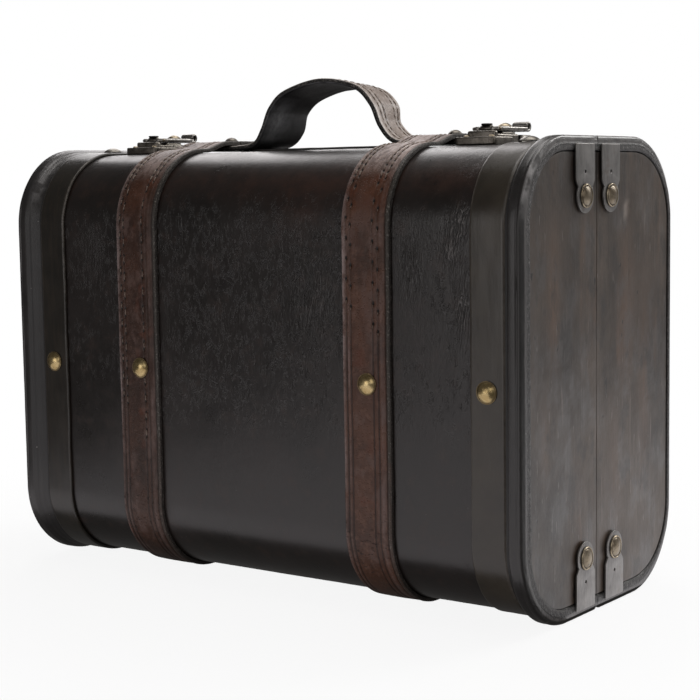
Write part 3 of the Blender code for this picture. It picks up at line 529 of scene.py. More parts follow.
# ------------------------------------------------------------------ mesh helpers
def piece(name, co, faces, body, mats, replaces=(), smooth=40.0, attrs=None, index=None, recalc=True):
    """Mesh object from points and faces, shaded smooth, riding on a CAD body."""
    name += "_fine" if name in NODES else ""
    me = bpy.data.meshes.new(name)
    me.from_pydata(np.asarray(co, float).tolist(), [], faces if isinstance(faces, list) else faces.tolist())
    if index is not None:
        me.polygons.foreach_set("material_index", np.asarray(index, np.int32))
    for m in (mats if isinstance(mats, (list, tuple)) else [mats]):
        me.materials.append(m)
    if recalc:
        bm = bmesh.new()
        bm.from_mesh(me)
        bmesh.ops.recalc_face_normals(bm, faces=bm.faces)
        bm.to_mesh(me)
        bm.free()
    for key, values in (attrs or {}).items():
        a = me.attributes.new(key, "FLOAT", "POINT")
        a.data.foreach_set("value", np.asarray(values, np.float32).ravel())
    me.shade_smooth()
    if smooth:
        me.set_sharp_from_angle(angle=math.radians(smooth))
    ob = bpy.data.objects.new(name, me)
    scene.collection.objects.link(ob)
    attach(ob, body)
    if replaces:
        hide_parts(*replaces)
    return ob


def loft(rings, cap="face", closed=True):
    """Quads between rings of points, shaped (rings, points, 3), with the two ends capped."""
    k, n = rings.shape[:2]
    a = np.arange(k * n).reshape(k, n)
    last = n if closed else n - 1
    quads = []
    for i in range(last):
        j = (i + 1) % n
        quads.append(np.stack((a[:-1, i], a[:-1, j], a[1:, j], a[1:, i]), 1))
    faces = np.stack(quads, 1).reshape(-1, 4).tolist()
    if cap == "face":
        faces.append(a[0][::-1].tolist())
        faces.append(a[-1].tolist())
    elif cap == "strip":
        for ring in (a[0], a[-1]):
            faces += [[ring[i], ring[i + 1], ring[n - 2 - i], ring[n - 1 - i]] for i in range(n // 2 - 1)]
    return rings.reshape(-1, 3), faces


def joined(parts):
    """One list of points, faces and attributes from several."""
    co, faces, attrs, start = [], [], {}, 0
    for part in parts:
        c, f = part[0], part[1]
        co.append(c)
        faces += [[v + start for v in face] for face in f]
        for key, values in (part[2] if len(part) > 2 else {}).items():
            attrs.setdefault(key, []).append(np.asarray(values, float).ravel())
        start += len(c)
    return np.concatenate(co), faces, {k: np.concatenate(v) for k, v in attrs.items()}


# ------------------------------------------------------------------ outline of a half
ARC = CORNER_R * math.pi / 2
UPRIGHT = HEIGHT - 2 * CORNER_R


def flat_len(side):
    return abs(side * CY - (SEAM_Y + side * SEAM_GAP))


def total_len(side):
    return 2 * flat_len(side) + 2 * ARC + UPRIGHT


def path(side, s):
    """Outline of a half at distance s from the seam on top: y, z and the outward normal's y and z."""
    s = np.asarray(s, float)
    f = flat_len(side)
    edge = SEAM_Y + side * SEAM_GAP
    t1, t2, t3, t4 = f, f + ARC, f + ARC + UPRIGHT, f + 2 * ARC + UPRIGHT
    a1 = np.clip((s - t1) / CORNER_R, 0, math.pi / 2)
    a2 = np.clip((s - t3) / CORNER_R, 0, math.pi / 2)
    r = CORNER_R
    y = np.where(s <= t1, edge + side * s, side * (CY + r * np.sin(a1)))
    z = np.where(s <= t1, HEIGHT, HEIGHT - r + r * np.cos(a1))
    ny, nz = side * np.sin(a1), np.cos(a1)
    wall = s > t2
    y, z = np.where(wall, side * HALF_DEPTH, y), np.where(wall, HEIGHT - r - (s - t2), z)
    low = s > t3
    y = np.where(low, side * (CY + r * np.cos(a2)), y)
    z = np.where(low, r - r * np.sin(a2), z)
    ny, nz = np.where(low, side * np.cos(a2), ny), np.where(low, -np.sin(a2), nz)
    end = s > t4
    y, z = np.where(end, side * CY - side * (s - t4), y), np.where(end, 0.0, z)
    return y, z, ny, nz


def samples(side, step, ends=(0.0, 0.0002, 0.0005, 0.0009, 0.0014, 0.0020, 0.0028)):
    """Distances along a half's outline, closer together at the seam."""
    length = total_len(side)
    marks = [0.0031, flat_len(side), flat_len(side) + ARC, flat_len(side) + ARC + UPRIGHT,
             flat_len(side) + 2 * ARC + UPRIGHT, length - 0.0080]
    out = list(ends)
    for a, b in zip(marks, marks[1:]):
        n = max(1, int(round((b - a) / step)))
        out += [a + (b - a) * k / n for k in range(n)]
    out += [length - 0.0080 + 0.0006 * k for k in range(9)]
    out += [length - e for e in reversed(ends)]
    return np.array(sorted(set(round(v, 7) for v in out)))


def s_at(side, z):
    """Distance along the outline where the upright face is at height z."""
    return flat_len(side) + ARC + (HEIGHT - CORNER_R - z)


def dense(points, step):
    """Key points with any number of columns, filled in so that none are further apart than step."""
    points = [np.array(p, float) for p in points]
    out = []
    for a, b in zip(points, points[1:]):
        n = max(1, int(math.ceil(math.hypot(*(b - a)[:2]) / step)))
        out += [a + (b - a) * k / n for k in range(n)]
    out.append(points[-1])
    return np.array(out)


def strap_rise(side, s):
    """How far a strap is lifted over the feet of the handle, at distance s from the seam on top."""
    a, b = (0.0125, 0.0370) if side < 0 else (0.0345, 0.0495)
    t = np.clip((np.asarray(s, float) - a) / (b - a), 0, 1)
    return 0.0054 * (1 - t * t * (3 - 2 * t))


def sweep(side, prof, s, shift=None, roll=0.0011, relief=True, rise=None):
    """Rings of a profile carried round a half. Profile columns: x, inset, weight of what faces out."""
    y, z, ny, nz = path(side, s)
    k, n = len(s), len(prof)
    x = np.repeat(prof[None, :, 0], k, 0)
    e = np.repeat(prof[None, :, 1], k, 0)
    w = np.repeat(prof[None, :, 2], k, 0)
    sg = np.repeat(s[:, None], n, 1)
    if shift:
        x, e = shift(x, e, w, sg)
    if roll:
        for dist in (sg, s[-1] - sg):
            t = np.clip(1 - dist / roll, 0, 1)
            e = e + w * roll * (1 - np.sqrt(1 - t * t))
    yy = np.repeat(y[:, None], n, 1)
    if relief:
        under = np.repeat((nz < -0.999)[:, None], n, 1)
        least = 0.0032 - 0.6745 * np.abs(yy - SEAM_Y)
        e = np.where(under, np.maximum(e, least), e)
    if rise is not None:
        e = e - rise(side, sg)
    return np.stack((x, yy - ny[:, None] * e, z[:, None] - nz[:, None] * e), 2)


def on_half(side, x, s, e):
    """Point and outward normal at (x, s) with inset e."""
    y, z, ny, nz = path(side, np.array([s]))
    return np.array((x, y[0] - ny[0] * e, z[0] - nz[0] * e)), np.array((0.0, ny[0], nz[0]))


# ------------------------------------------------------------------ leather skin on the bent wood
def skins():
    for half, side in SIDES.items():
        s = samples(side, 0.0030)
        length = s[-1]
        xs = np.linspace(-0.2045, 0.2045, 140)
        outer_s, outer_e, outer_w = s, np.full(len(s), SKIN), np.ones(len(s))
        inner_s, inner_e, inner_w = s, np.full(len(s), 0.0100), np.zeros(len(s))
        # the skin is turned in over the cut edge of the wood
        mid_e = np.array([0.0064, 0.0074])
        ring_s = np.concatenate((outer_s, np.full(2, length), inner_s[::-1], np.full(2, 0.0)))
        ring_e = np.concatenate((outer_e, mid_e, inner_e, mid_e[::-1]))
        ring_w = np.concatenate((outer_w, (0.4, 0.0), inner_w, (0.0, 0.4)))
        y, z, ny, nz = path(side, ring_s)
        n, k = len(ring_s), len(xs)
        X = np.repeat(xs[:, None], n, 1)
        S = np.repeat(ring_s[None], k, 0)
        E = np.repeat(ring_e[None], k, 0)
        W = np.repeat(ring_w[None], k, 0)
        wave = 0.00010 * fbm(X / 0.045, S / 0.060, 3 + side, 2) + 0.00004 * fbm(X / 0.009, S / 0.030, 9 + side, 2)
        for dist in (S, length - S):
            t = np.clip(1 - dist / 0.0012, 0, 1)
            E = E + W * 0.0009 * (1 - np.sqrt(1 - t * t))
        E = E + W * (wave + 0.00008)
        co = np.stack((X, y[None] - ny[None] * E, z[None] - nz[None] * E), 2)
        points, faces = loft(co, cap=None)
        # end caps between the outer and the inner rows
        m = len(s)
        a = np.arange(k * n).reshape(k, n)
        for ring in (a[0], a[-1]):
            inner = ring[m + 2:m + 2 + m][::-1]
            faces += [[ring[i], ring[i + 1], inner[i + 1], inner[i]] for i in range(m - 1)]
            faces.append([ring[m - 1], ring[m], ring[m + 1], ring[m + 2]])
            faces.append([ring[m + 2 + m - 1], ring[-2], ring[-1], ring[0]])
        depth = E.reshape(-1)
        mean_e = np.array([depth[f].mean() for f in faces])
        index = (mean_e > 0.0068).astype(int)
        fold = np.clip(W.reshape(-1), 0, 1)
        px, pz = co[..., 0].reshape(-1), co[..., 2].reshape(-1)
        u = px if side < 0 else 0.07 - px
        calm = np.clip((pz - 0.105) / 0.05, 0, 1) * np.clip((0.272 - pz) / 0.03, 0, 1)
        patch = 0.62 + 0.38 * bell(u, 0.045, 0.045) * bell(pz, 0.175, 0.060) - 0.30 * np.clip((u - 0.108) / 0.012, 0, 1)
        creased = np.clip(calm * np.clip((u + 0.150) / 0.06, 0.22, 1) * patch * (0.80 + 0.95 * fbm(u / 0.040 + 3, pz / 0.040, 15 + side, 2)) + 0.14 * fbm(u / 0.03, pz / 0.05, 18, 2).clip(0, 1), 0, 1)
        fan = np.clip(1.1 * bell(u, 0.1655, 0.0060) * bell(pz, 0.249, 0.010) + 0.8 * bell(u, 0.1585, 0.0055) * bell(pz, 0.233, 0.012)
                      + 0.9 * bell(u, 0.1665, 0.0050) * bell(pz, 0.197, 0.015) + 0.45 * bell(u, 0.130, 0.007) * bell(pz, 0.222, 0.018)
                      + 0.5 * bell(u, 0.056, 0.012) * bell(pz, 0.196, 0.014) + 0.25 * bell(u, -0.138, 0.010) * bell(pz, 0.225, 0.020), 0, 1)
        red = np.clip(bell(pz, 0.275, 0.011) * (0.5 + 0.8 * fbm(u / 0.05, pz / 0.05, 23, 2)) + 0.5 * bell(u, 0.045, 0.02) * bell(pz, 0.255, 0.015), 0, 0.9)
        piece("leather_skin_" + half, points, faces, HALF_BODY[half], [M["skin"], M["raw_wood"]],
              ("shell_" + half,), 50, {"s": S.reshape(-1), "fold": fold, "creased": creased, "fan": fan, "red": red}, index)


def seam_edging():
    """Narrow strip of leather along the top seam of the front half, between the fittings."""
    parts = []
    gaps = [(-0.1655, -0.1500), (-0.1275, -0.1142), (-0.0650, 0.0680), (0.1164, 0.1340), (0.1560, 0.1720)]
    for x0, x1 in gaps:
        xs = np.linspace(x0, x1, max(4, int((x1 - x0) / 0.003)))
        ring = np.array([(-0.0087, 0.2951), (-0.0086, 0.2966), (-0.0082, 0.2972), (-0.0077, 0.2974), (-0.0068, 0.29735),
                         (-0.0062, 0.2971), (-0.00575, 0.2966), (-0.0057, 0.2951)])
        wob = 0.00012 * fbm(xs / 0.012, 0.3, 71, 2)
        end = np.minimum(xs - x0, x1 - xs)
        low = 0.0006 * np.clip(1 - end / 0.001, 0, 1)
        co = np.stack((np.repeat(xs[:, None], 8, 1), ring[None, :, 0] + 0 * xs[:, None],
                       np.where(ring[None, :, 1] > 0.296, ring[None, :, 1] + (wob - low)[:, None], ring[None, :, 1])), 2)
        c, f = loft(co)
        # the upper faces of the strip are painted lighter: painted highlight
        lit = np.repeat(np.array([0.0, 0.9, 1.0, 0.4, 0.1, 0.1, 0.2, 0.0])[None], len(xs), 0)
        parts.append((c, f, {"wear_and_highlight": lit * 0.5, "raw": lit * 0, "dark": lit * 0, "lit": lit * 0}))
    co, faces, attrs = joined(parts)
    piece("seam_edging", co, faces, "front_half", M["rim"], (), 50, attrs)


# ------------------------------------------------------------------ bands and rims at the ends
def trims():
    for end, sx in ENDS.items():
        b_in, b_out, level, groove = BAND_IN[end], BAND_OUT[end], BAND_LEVEL[end], GROOVE[end]
        # how much lighter the rim's slope is painted: painted light on the slope
        lit = 0.16 if end == "left" else 0.20
        cut = 0.2066                                   # crease beside the bead on the outer corner
        # columns: x, inset, facing out, wear and painted highlight (lit rim slope, band edges, lip ridge), raw, wobble
        # of the cut edge
        keys = [(b_in, 0.0047, 0, 0, 0, 1), (b_in, level + 0.0007, 0.6, 0.55, 0, 1), (b_in + 0.0003, level + 0.0002, 1, 0.80, 0, 1),
                (b_in + 0.0010, level, 1, 0.30, 0, 1), (b_in + 0.0018, level, 1, 0, 0, 0.4), (b_out - 0.0016, level, 1, 0, 0, 0),
                (b_out - 0.0006, level + 0.0001, 1, 0.55, 0, 0.3), (b_out, level + 0.0007, 0.8, 0.9, 0, 0.3),
                (b_out + 0.0003, 0.0043, 0, 0, 0, 0), (groove, 0.0043, 0, 0.0, 0, 0),
                (groove + (RIM_START - groove) * 0.12, 0.0039, 0.5, lit * 0.4, 0, 0),
                (groove + (RIM_START - groove) * 0.40, 0.0031, 0.8, lit * 0.55, 0, 0),
                (groove + (RIM_START - groove) * 0.46, 0.0027, 0.8, lit, 0, 0),
                (groove + (RIM_START - groove) * 0.72, 0.0018, 0.8, lit * 0.95, 0, 0),
                (groove + (RIM_START - groove) * 0.76, 0.0014, 0.8, lit * 0.55, 0, 0),
                (RIM_START - 0.0004, 0.0006, 1, lit * 0.6, 0, 0), (RIM_START + 0.0005, 0.00018, 1, 0.12, 0, 0),
                (RIM_START + 0.0018, 0.00005, 1, 0, 0, 0), (cut - 0.0012, 0.0001, 1, 0, 0, 0), (cut - 0.0005, 0.0005, 1, 0, 0, 0),
                (cut, 0.0007, 1, 0, 0, 0), (cut + 0.0005, 0.0004, 1, 0.05, 0, 0), (cut + 0.0012, 0.00012, 1, 0.10, 0, 0),
                (0.2084, 0.0003, 1, 0.10, 0.05, 0), (0.2088, 0.0006, 1, 0.05, 0.1, 0), (0.2093, 0.0010, 1, 0.0, 0.1, 0), (0.2097, 0.0018, 1, 0.0, 0.1, 0),
                (0.2098, 0.0025, 0.6, 0.10, 0.1, 0), (0.2098, 0.0030, 0.6, 0.75, 0.15, 0), (0.2098, 0.0040, 0.5, 0.85, 0.2, 0),
                (0.2098, 0.0048, 0.5, 0.50, 0.4, 0), (0.2098, 0.0054, 0.5, 0.05, 0.9, 0),
                (0.2098, 0.0078, 0.5, 0.15, 1, 0.7),
                (0.2096, 0.0087, 0.3, 0.55, 0.9, 1), (0.20915, 0.0093, 0, 0, 0.6, 0.9), (0.2083, 0.0100, 0, 0, 0, 0), (0.2048, 0.0100, 0, 0, 0, 0), (0.2048, 0.0047, 0, 0, 0, 0)]
        prof = dense(keys, 0.0011)
        rim_part = prof[:, 0] > b_out + 0.0002
        prof_signed = prof.copy()
        prof_signed[:, 0] *= sx
        for half, side in SIDES.items():
            s = samples(side, 0.0022)
            seed = 20 + 7 * sx + 3 * side

            def shift(x, e, w, sg):
                ax = np.abs(x)
                wob = np.repeat(prof[None, :, 5], len(sg), 0)
                inner = (ax < b_out - 0.004) & (e < 0.0048)
                x = x + sx * np.where(inner, wob * (0.00045 * fbm(sg / 0.035, 0.5, seed, 3) + 0.00022 * fbm(sg / 0.006, 0.9, seed + 10, 2)), 0.0)
                face = ax > 0.2085
                g = lip_scale(side, sg)
                e = np.where(face & (e > 0.0014), 0.0014 + (e - 0.0014) * (0.0100 * g - 0.0014) / 0.0086, e)
                if side > 0:
                    e = np.where((ax > 0.2047) & (ax <= 0.2085) & (e > 0.0090), np.minimum(e, 0.0100 * g), e)
                # torn inner edge of the lip on the end, and the crumbly bead
                tear = 0.00060 * fbm(sg / 0.006, 1.5, seed + 1, 3)
                e = e + np.where(face & (e > 0.0078), wob * (tear - 0.0001), 0.0)
                rough = 0.00034 * fbm(sg / 0.004, e / 0.0018, seed + 2, 3)
                x = x + sx * np.where(face & (e > 0.0016) & (w > 0.2), w * (rough - 0.00030), 0.0)
                ridge = (g - 1).clip(0, 1) / 0.38
                x = x + sx * np.where(face, ridge * (0.0006 * bell(e, 0.0046, 0.0022) - 0.0005 * bell(e, 0.0105, 0.0030)), 0.0)
                soft = 0.00012 * fbm(sg / 0.030, ax / 0.010, seed + 3, 3)
                bead = 0.00016 * fbm(sg / 0.007, ax / 0.003, seed + 4, 2)
                e = e + w * np.where(ax > cut, np.abs(bead) + 0.00004, soft + 0.00012) * (e < 0.0044)
                # the crease fades in and out along the rim
                fade = np.clip(0.65 + 0.8 * noise(sg / 0.045, 2.5, seed + 5), 0, 1)
                fade = fade * np.clip((path(side, sg)[1] - 0.045) / 0.03, 0.1, 1)
                e = e - bell(ax, cut, 0.0006) * 0.0007 * (1 - fade) * w
                return x, e

            rings = sweep(side, prof_signed, s, shift)
            if sx * side > 0:
                rings = rings[:, ::-1]
            cols = (lambda a: a[::-1]) if sx * side > 0 else (lambda a: a)
            co, faces = loft(rings)
            k, n = len(s), len(prof)
            wear_and_highlight = np.repeat(cols(prof[:, 3])[None], k, 0)
            zs = path(side, s)[1]
            # painted shade: the gap between the band and the rim, and the gap where the lip meets the board, painted
            # near black
            dark = np.repeat(cols(((prof[:, 0] > b_out) & (prof[:, 1] > 0.0040) & (prof[:, 0] < groove + 0.0006)) * 0.8
                                  + ((prof[:, 0] > 0.204) & (prof[:, 1] > 0.0099)) * 1.0)[None], k, 0).clip(0, 1)
            # painted shade: a dark stripe along the outer corner stands for the shade of a crease
            stripe = cols(np.clip((prof[:, 0] - 0.2082) / 0.0004, 0, 1) * np.clip((0.0029 - prof[:, 1]) / 0.0004, 0, 1))
            along = np.clip((0.264 - zs) / 0.015, 0, 1) * np.clip((zs - 0.110) / 0.06, 0.30, 1) * np.clip(0.8 + 0.5 * noise(s / 0.020, 6.5, seed + 6), 0, 1)
            dark = np.maximum(dark, stripe[None] * along[:, None] * 0.90)
            # painted shade: on the left the rim's slope is painted darker below the bend
            if end == "left":
                slope = cols(((prof[:, 0] > groove) & (prof[:, 0] < RIM_START + 0.0006)) * 1.0)
                dark = np.maximum(dark, slope[None] * (0.72 * np.clip((0.268 - zs) / 0.020, 0, 1) * np.clip((zs - 0.03) / 0.05, 0.4, 1))[:, None])
            # the band's inner edge is lighter in places only, from wear and a painted highlight, most of all in the
            # bend
            part = np.clip(np.clip((zs - 0.15) / 0.06, 0.12, 1) * (0.30 + 0.75 * noise(s / 0.009, 0.5, seed + 7)) + 0.75 * bell(zs, 0.262, 0.030), 0.0, 1.25)
            near = cols(prof[:, 0] < b_in + 0.0016)
            wear_and_highlight = np.where(near[None], wear_and_highlight * part[:, None], wear_and_highlight).clip(0, 1)
            part = np.clip(0.75 + 0.45 * noise(s / 0.050, 1.5, seed + 8), 0.3, 1.0)
            wear_and_highlight = np.where(near[None], wear_and_highlight, wear_and_highlight * part[:, None])
            # painted highlight: a glint on the bead and a light line on the lip in the bend, weaker on the left, where
            # the slope also gets one
            bead = cols(np.clip((prof[:, 0] - 0.2080) / 0.0006, 0, 1) * np.clip((0.0036 - prof[:, 1]) / 0.0010, 0, 1))
            glint = (bell(zs, 0.276, 0.020) * np.clip(0.75 + 0.7 * noise(s / 0.008, 3.5, seed + 9), 0, 1))[:, None] * bead[None]
            line = cols(bell(prof[:, 1], 0.0074, 0.0009) * (prof[:, 0] > 0.2090))
            glint = np.maximum(glint, 0.35 * line[None] * (bell(zs, 0.285, 0.022) * np.clip(0.7 + 0.7 * noise(s / 0.010, 8.5, seed + 9), 0, 1))[:, None])
            glint = glint * (1.0 if end == "right" else 0.4)
            if end == "left":
                glow = cols(bell(prof[:, 0], groove + (RIM_START - groove) * 0.60, (RIM_START - groove) * 0.38) * (prof[:, 1] < 0.0044))
                glint = np.maximum(glint, 0.40 * glow[None] * bell(zs, 0.279, 0.014)[:, None])
            raw = np.repeat(cols(prof[:, 4])[None], k, 0)
            rim = cols(rim_part.astype(int))
            index = np.zeros(len(faces), int)
            quad_rim = np.array([1 if (rim[i] and rim[(i + 1) % n]) else 0 for i in range(n)])
            index[:(k - 1) * n] = np.tile(quad_rim, k - 1)
            index[(k - 1) * n:] = 1
            piece("end_trim_%s_%s" % (half, end), co, faces, HALF_BODY[half], [M["band_" + end], M["rim"]],
                  ("end_trim_%s_%s" % (half, end),), 55, {"wear_and_highlight": wear_and_highlight, "raw": raw, "dark": dark, "lit": glint}, index)


# ------------------------------------------------------------------ straps round the case
ROWS = (-0.0146, -0.0112, 0.0056, 0.0094)      # sewn rows, from the strap's middle
EDGE_GROOVE = 0.0150


def stitch_plan(end, side):
    """Stitches as (row, middle s, length, tone); long and close in the bend, short and far apart below it."""
    plan = []
    bend = flat_len(side) + 0.052
    low_z = 0.118 if end == "left" else 0.192
    length = total_len(side)
    for r, row in enumerate(ROWS):
        pos = 0.0058 + 0.0011 * r
        while pos < bend:
            plan.append((row, pos, 0.0040, 1))
            pos += 0.0054
        pos += 0.0035 + 0.0032 * (r % 2)
        gap = 0.0122 if end == "left" else 0.0128
        stop = s_at(side, low_z - (0.016 if r > 1 else 0.0))
        while pos < stop:
            if end == "left":
                size = (0.0030, 0.0044, 0.0042, 0.0)[r]
            else:
                size = (0.0026, 0.0022, 0.0028, 0.0020)[r]
            if size:
                plan.append((row, pos, size, 0))
            pos += gap
        # again at the foot of the strap, under the case
        pos = length - 0.0058 - 0.0011 * r
        while pos > length - flat_len(side) + 0.004:
            plan.append((row, pos, 0.0040, 1))
            pos -= 0.0054
    return plan


def thread_run(points, normals, radius, sides=6):
    """A short thread that dips at both ends."""
    pts, nrm = np.array(points), np.array(normals)
    tangent = np.gradient(pts, axis=0)
    tangent /= np.linalg.norm(tangent, axis=1)[:, None]
    across = np.cross(tangent, nrm)
    k = len(pts)
    t = np.linspace(-1, 1, k)
    r = radius * np.sqrt(np.clip(1.06 - t ** 4, 0.05, 1))
    ang = np.arange(sides) * 2 * math.pi / sides
    rings = pts[:, None] + r[:, None, None] * (np.cos(ang)[None, :, None] * across[:, None] + np.sin(ang)[None, :, None] * nrm[:, None])
    return loft(rings)


def straps():
    for end, sx in ENDS.items():
        mid = STRAP_X[end]
        w, lv = STRAP_W / 2, STRAP_LEVEL
        keys = [(-w, 0.0047), (-w, lv + 0.0013), (-w + 0.0002, lv + 0.0007), (-w + 0.0007, lv + 0.0002), (-w + 0.0014, lv), (-w + 0.0026, lv)]
        flat_pts = np.unique(np.round(np.concatenate([
            np.arange(-w + 0.0026, w - 0.0026, 0.0013), *[r + np.array((-0.0012, -0.0008, -0.0004, 0.0, 0.0004, 0.0008, 0.0012)) for r in ROWS],
            EDGE_GROOVE + np.array((-0.0008, -0.0004, 0.0, 0.0004, 0.0008, 0.0013))]), 6))
        flat_pts = flat_pts[(flat_pts > -w + 0.0027) & (flat_pts < w - 0.0014)]
        keep = [flat_pts[0]]
        for v in flat_pts[1:]:
            if v - keep[-1] > 0.00028:
                keep.append(v)
        keys += [(v, lv) for v in keep]
        keys += [(w - 0.0012, lv), (w - 0.0006, lv + 0.0002), (w - 0.0002, lv + 0.0007), (w, lv + 0.0014), (w, 0.0047)]
        prof = np.array([(x, e, 1.0 if e < 0.0046 else 0.0) for x, e in keys])
        u = prof[:, 0]
        prof_x = prof.copy()
        prof_x[:, 0] += mid
        for half, side in SIDES.items():
            plan = stitch_plan(end, side)
            length = total_len(side)
            s = np.unique(np.round(np.concatenate((samples(side, 0.0016), np.arange(0.004, s_at(side, 0.062), 0.0008))), 6))
            keep = [s[0]]
            for v in s[1:]:
                if v - keep[-1] > 0.00015:
                    keep.append(v)
            s = np.array(keep)
            seed = 40 + 5 * sx + 2 * side
            low_from, low_to = (s_at(side, 0.130), s_at(side, 0.085)) if end == "left" else (s_at(side, 0.205), s_at(side, 0.165))
            state = {}

            def shift(x, e, wt, sg):
                uu = x - mid
                top = wt * (np.abs(uu) < w - 0.0003)
                low = np.clip((sg - low_from) / (low_to - low_from), 0, 1)
                wander = 0.00025 * noise(sg / 0.06, 0.7, seed + 6)
                groove = np.zeros_like(uu)
                for k, row in enumerate(ROWS):
                    g = bell(uu, row + wander, 0.00052)
                    groove = np.maximum(groove, g * (0.30 + 0.70 * low))
                edge_g = bell(uu, EDGE_GROOVE, 0.00042)
                pit = np.zeros_like(uu)
                for row, at, size, _ in plan:
                    one_hole = end == "right" and size < 0.0035
                    for hole in ((at - size / 2 - 0.0003,) if one_hole else (at - size / 2 - 0.0003, at + size / 2 + 0.0003)):
                        k0, k1 = np.searchsorted(s, (hole - 0.003, hole + 0.003))
                        if k1 > k0:
                            d2 = ((uu[k0:k1] - row - 0.0004 * (rnd(int(hole * 1e5), 4, seed) - 0.5)) / (0.00095 if one_hole else 0.00080)) ** 2
                            d2 = d2 + ((sg[k0:k1] - hole) / (0.00165 if one_hole else 0.00120)) ** 2
                            pit[k0:k1] = np.maximum(pit[k0:k1], np.exp(-d2))
                crown = 0.00030 * (np.abs(uu) / w) ** 3
                lumps = 0.00014 * fbm(sg / 0.020, uu / 0.011, seed, 3) + 0.00005 * fbm(sg / 0.0035, uu / 0.0028, seed + 3, 2)
                e = e + top * (crown + lumps + 0.00012 + 0.00048 * groove + 0.00050 * edge_g + 0.00090 * pit - 0.00040 * bell(uu, w - 0.0014, 0.0010))
                # the upper edge is curled and frayed where the strap runs over the handle's foot
                fray = np.clip(strap_rise(side, sg) / 0.0054, 0, 1)
                e = e - top * fray * (0.00045 * bell(np.abs(uu), w, 0.0022) + 0.00022 * bell(np.abs(uu), w, 0.003) * fbm(sg / 0.003, 0.5, seed + 14, 2))
                side_rough = (0.00016 + 0.00018 * fray) * fbm(sg / 0.006, e / 0.0015, seed + 8, 2)
                x = x + np.where(np.abs(uu) > w - 0.0003, np.sign(uu) * (side_rough - 0.00010), 0.0)
                x = x + 0.00035 * fbm(sg / 0.070, 0.2, seed + 9, 2)
                state.update(groove=groove * top, edge_g=edge_g * top, pit=pit * top, low=low, uu=uu, sg=sg)
                return x, e

            rings = sweep(side, prof_x, s, shift, roll=0.0010, rise=strap_rise)
            uu, sg = state["uu"], state["sg"]
            zs = path(side, s)[1][:, None]
            wide = (0.0015 if end == "right" else 0.0011) + 0.0013 * bell(zs, 0.245, 0.022)
            # wear and painted highlight along the strap's edges and between the lower grooves, widest in the bend
            edge_wear_highlight_l = np.maximum(bell(uu, -w + 0.0008, wide), 0.55 * state["low"] * bell(uu, (ROWS[0] + ROWS[1]) / 2, 0.0007)) * np.clip(0.72 + 0.6 * noise(sg / 0.03, 0.4, seed + 11), 0, 1) * np.clip((zs - 0.04) / 0.10, 0.35, 1)
            edge_wear_highlight_r = bell(uu, w - 0.0060, 0.0007) * 0.35 * np.clip(0.50 + 0.6 * noise(sg / 0.025, 0.9, seed + 12), 0, 1)
            # painted highlight on the strap's top bend, stronger on the right strap
            bend_highlight = np.clip((zs - 0.2770) / 0.014, 0, 1) * np.clip(0.70 + 0.5 * fbm(sg / 0.02, uu / 0.012, seed + 16, 2), 0, 1) * (1.0 if end == "right" else 0.62)
            beads = np.clip((uu - EDGE_GROOVE - 0.0002) / 0.0003, 0, 1) * np.clip(0.95 - 0.3 * (zs < 0.10), 0, 1)
            warm = np.clip(bell(zs, 0.266, 0.014) * np.clip(0.55 + 0.6 * fbm(sg / 0.03, uu / 0.02, seed + 13, 2), 0, 1)
                           + 0.45 * bell(zs, 0.20, 0.05) * fbm(sg / 0.05, uu / 0.012, seed + 15, 2).clip(0, 1), 0, 0.85) * bell(uu, 0.0, 0.011)
            side_face = (np.abs(uu) > w - 0.0003) * 1.0
            flip = side < 0
            order = (lambda a: a[:, ::-1]) if flip else (lambda a: a)
            rings = order(rings)
            co, faces = loft(rings)
            attrs = {"s": order(sg), "groove": order(np.clip(state["groove"] + 0.9 * state["edge_g"], 0, 1)),
                     "edge": order(np.clip(edge_wear_highlight_l + edge_wear_highlight_r, 0, 1)), "cut": order(side_face * (uu < 0) * 0.9 + side_face * (uu > 0) * 0.8), "warm": order(warm),
                     "pit": order(state["pit"]), "bend_highlight": order(bend_highlight * (np.abs(uu) < w - 0.0003)), "bead": order(beads + 0 * sg), "side": order(side_face), "low": order(np.clip((0.100 - zs) / 0.03, 0, 1) + 0 * sg)}
            piece("strap_%s_%s" % (half, end), co, faces, HALF_BODY[half], M["strap_" + end],
                  ("strap_%s_%s" % (half, end),), 60, attrs)
            # sewing
            parts = []
            for n, (row, at, size, tone) in enumerate(plan):
                t = np.linspace(-1, 1, 7)
                ss = at + t * size / 2
                if ss[0] < 0.0015 or ss[-1] > length - 0.0060:
                    continue
                y, z, ny, nz = path(side, ss)
                dip = 0.00020 + 0.00055 * np.abs(t) ** 5
                jig = 0.00018 * (rnd(n, 3, seed) - 0.5)
                lean = 0.00025 * (rnd(n, 4, seed) - 0.5)
                e = lv + dip + (0.00005 if tone else 0.00022) - strap_rise(side, ss)
                pts = np.stack((mid + row + jig + lean * t, y - ny * e, z - nz * e), 1)
                nrm = np.stack((0 * ny, ny, nz), 1)
                c, f = thread_run(pts, nrm, 0.00046 if tone else 0.00034)
                base = 0.75 if tone else (0.45 if end == "left" else 0.12)
                parts.append((c, f, {"s": np.full(len(c), at), "tone": np.full(len(c), base * (0.5 + 0.6 * rnd(n, 5, seed)))}))
            co, faces, attrs = joined(parts)
            piece("stitching_%s_%s" % (half, end), co, faces, HALF_BODY[half], M["thread"], (), 80, attrs)


# ------------------------------------------------------------------ turned nails and rivets
def frame_of(direction):
    d = np.array(direction, float)
    d /= np.linalg.norm(d)
    a = np.cross(d, (0, 0, 1) if abs(d[2]) < 0.9 else (1, 0, 0))
    a /= np.linalg.norm(a)
    return a, np.cross(d, a), d


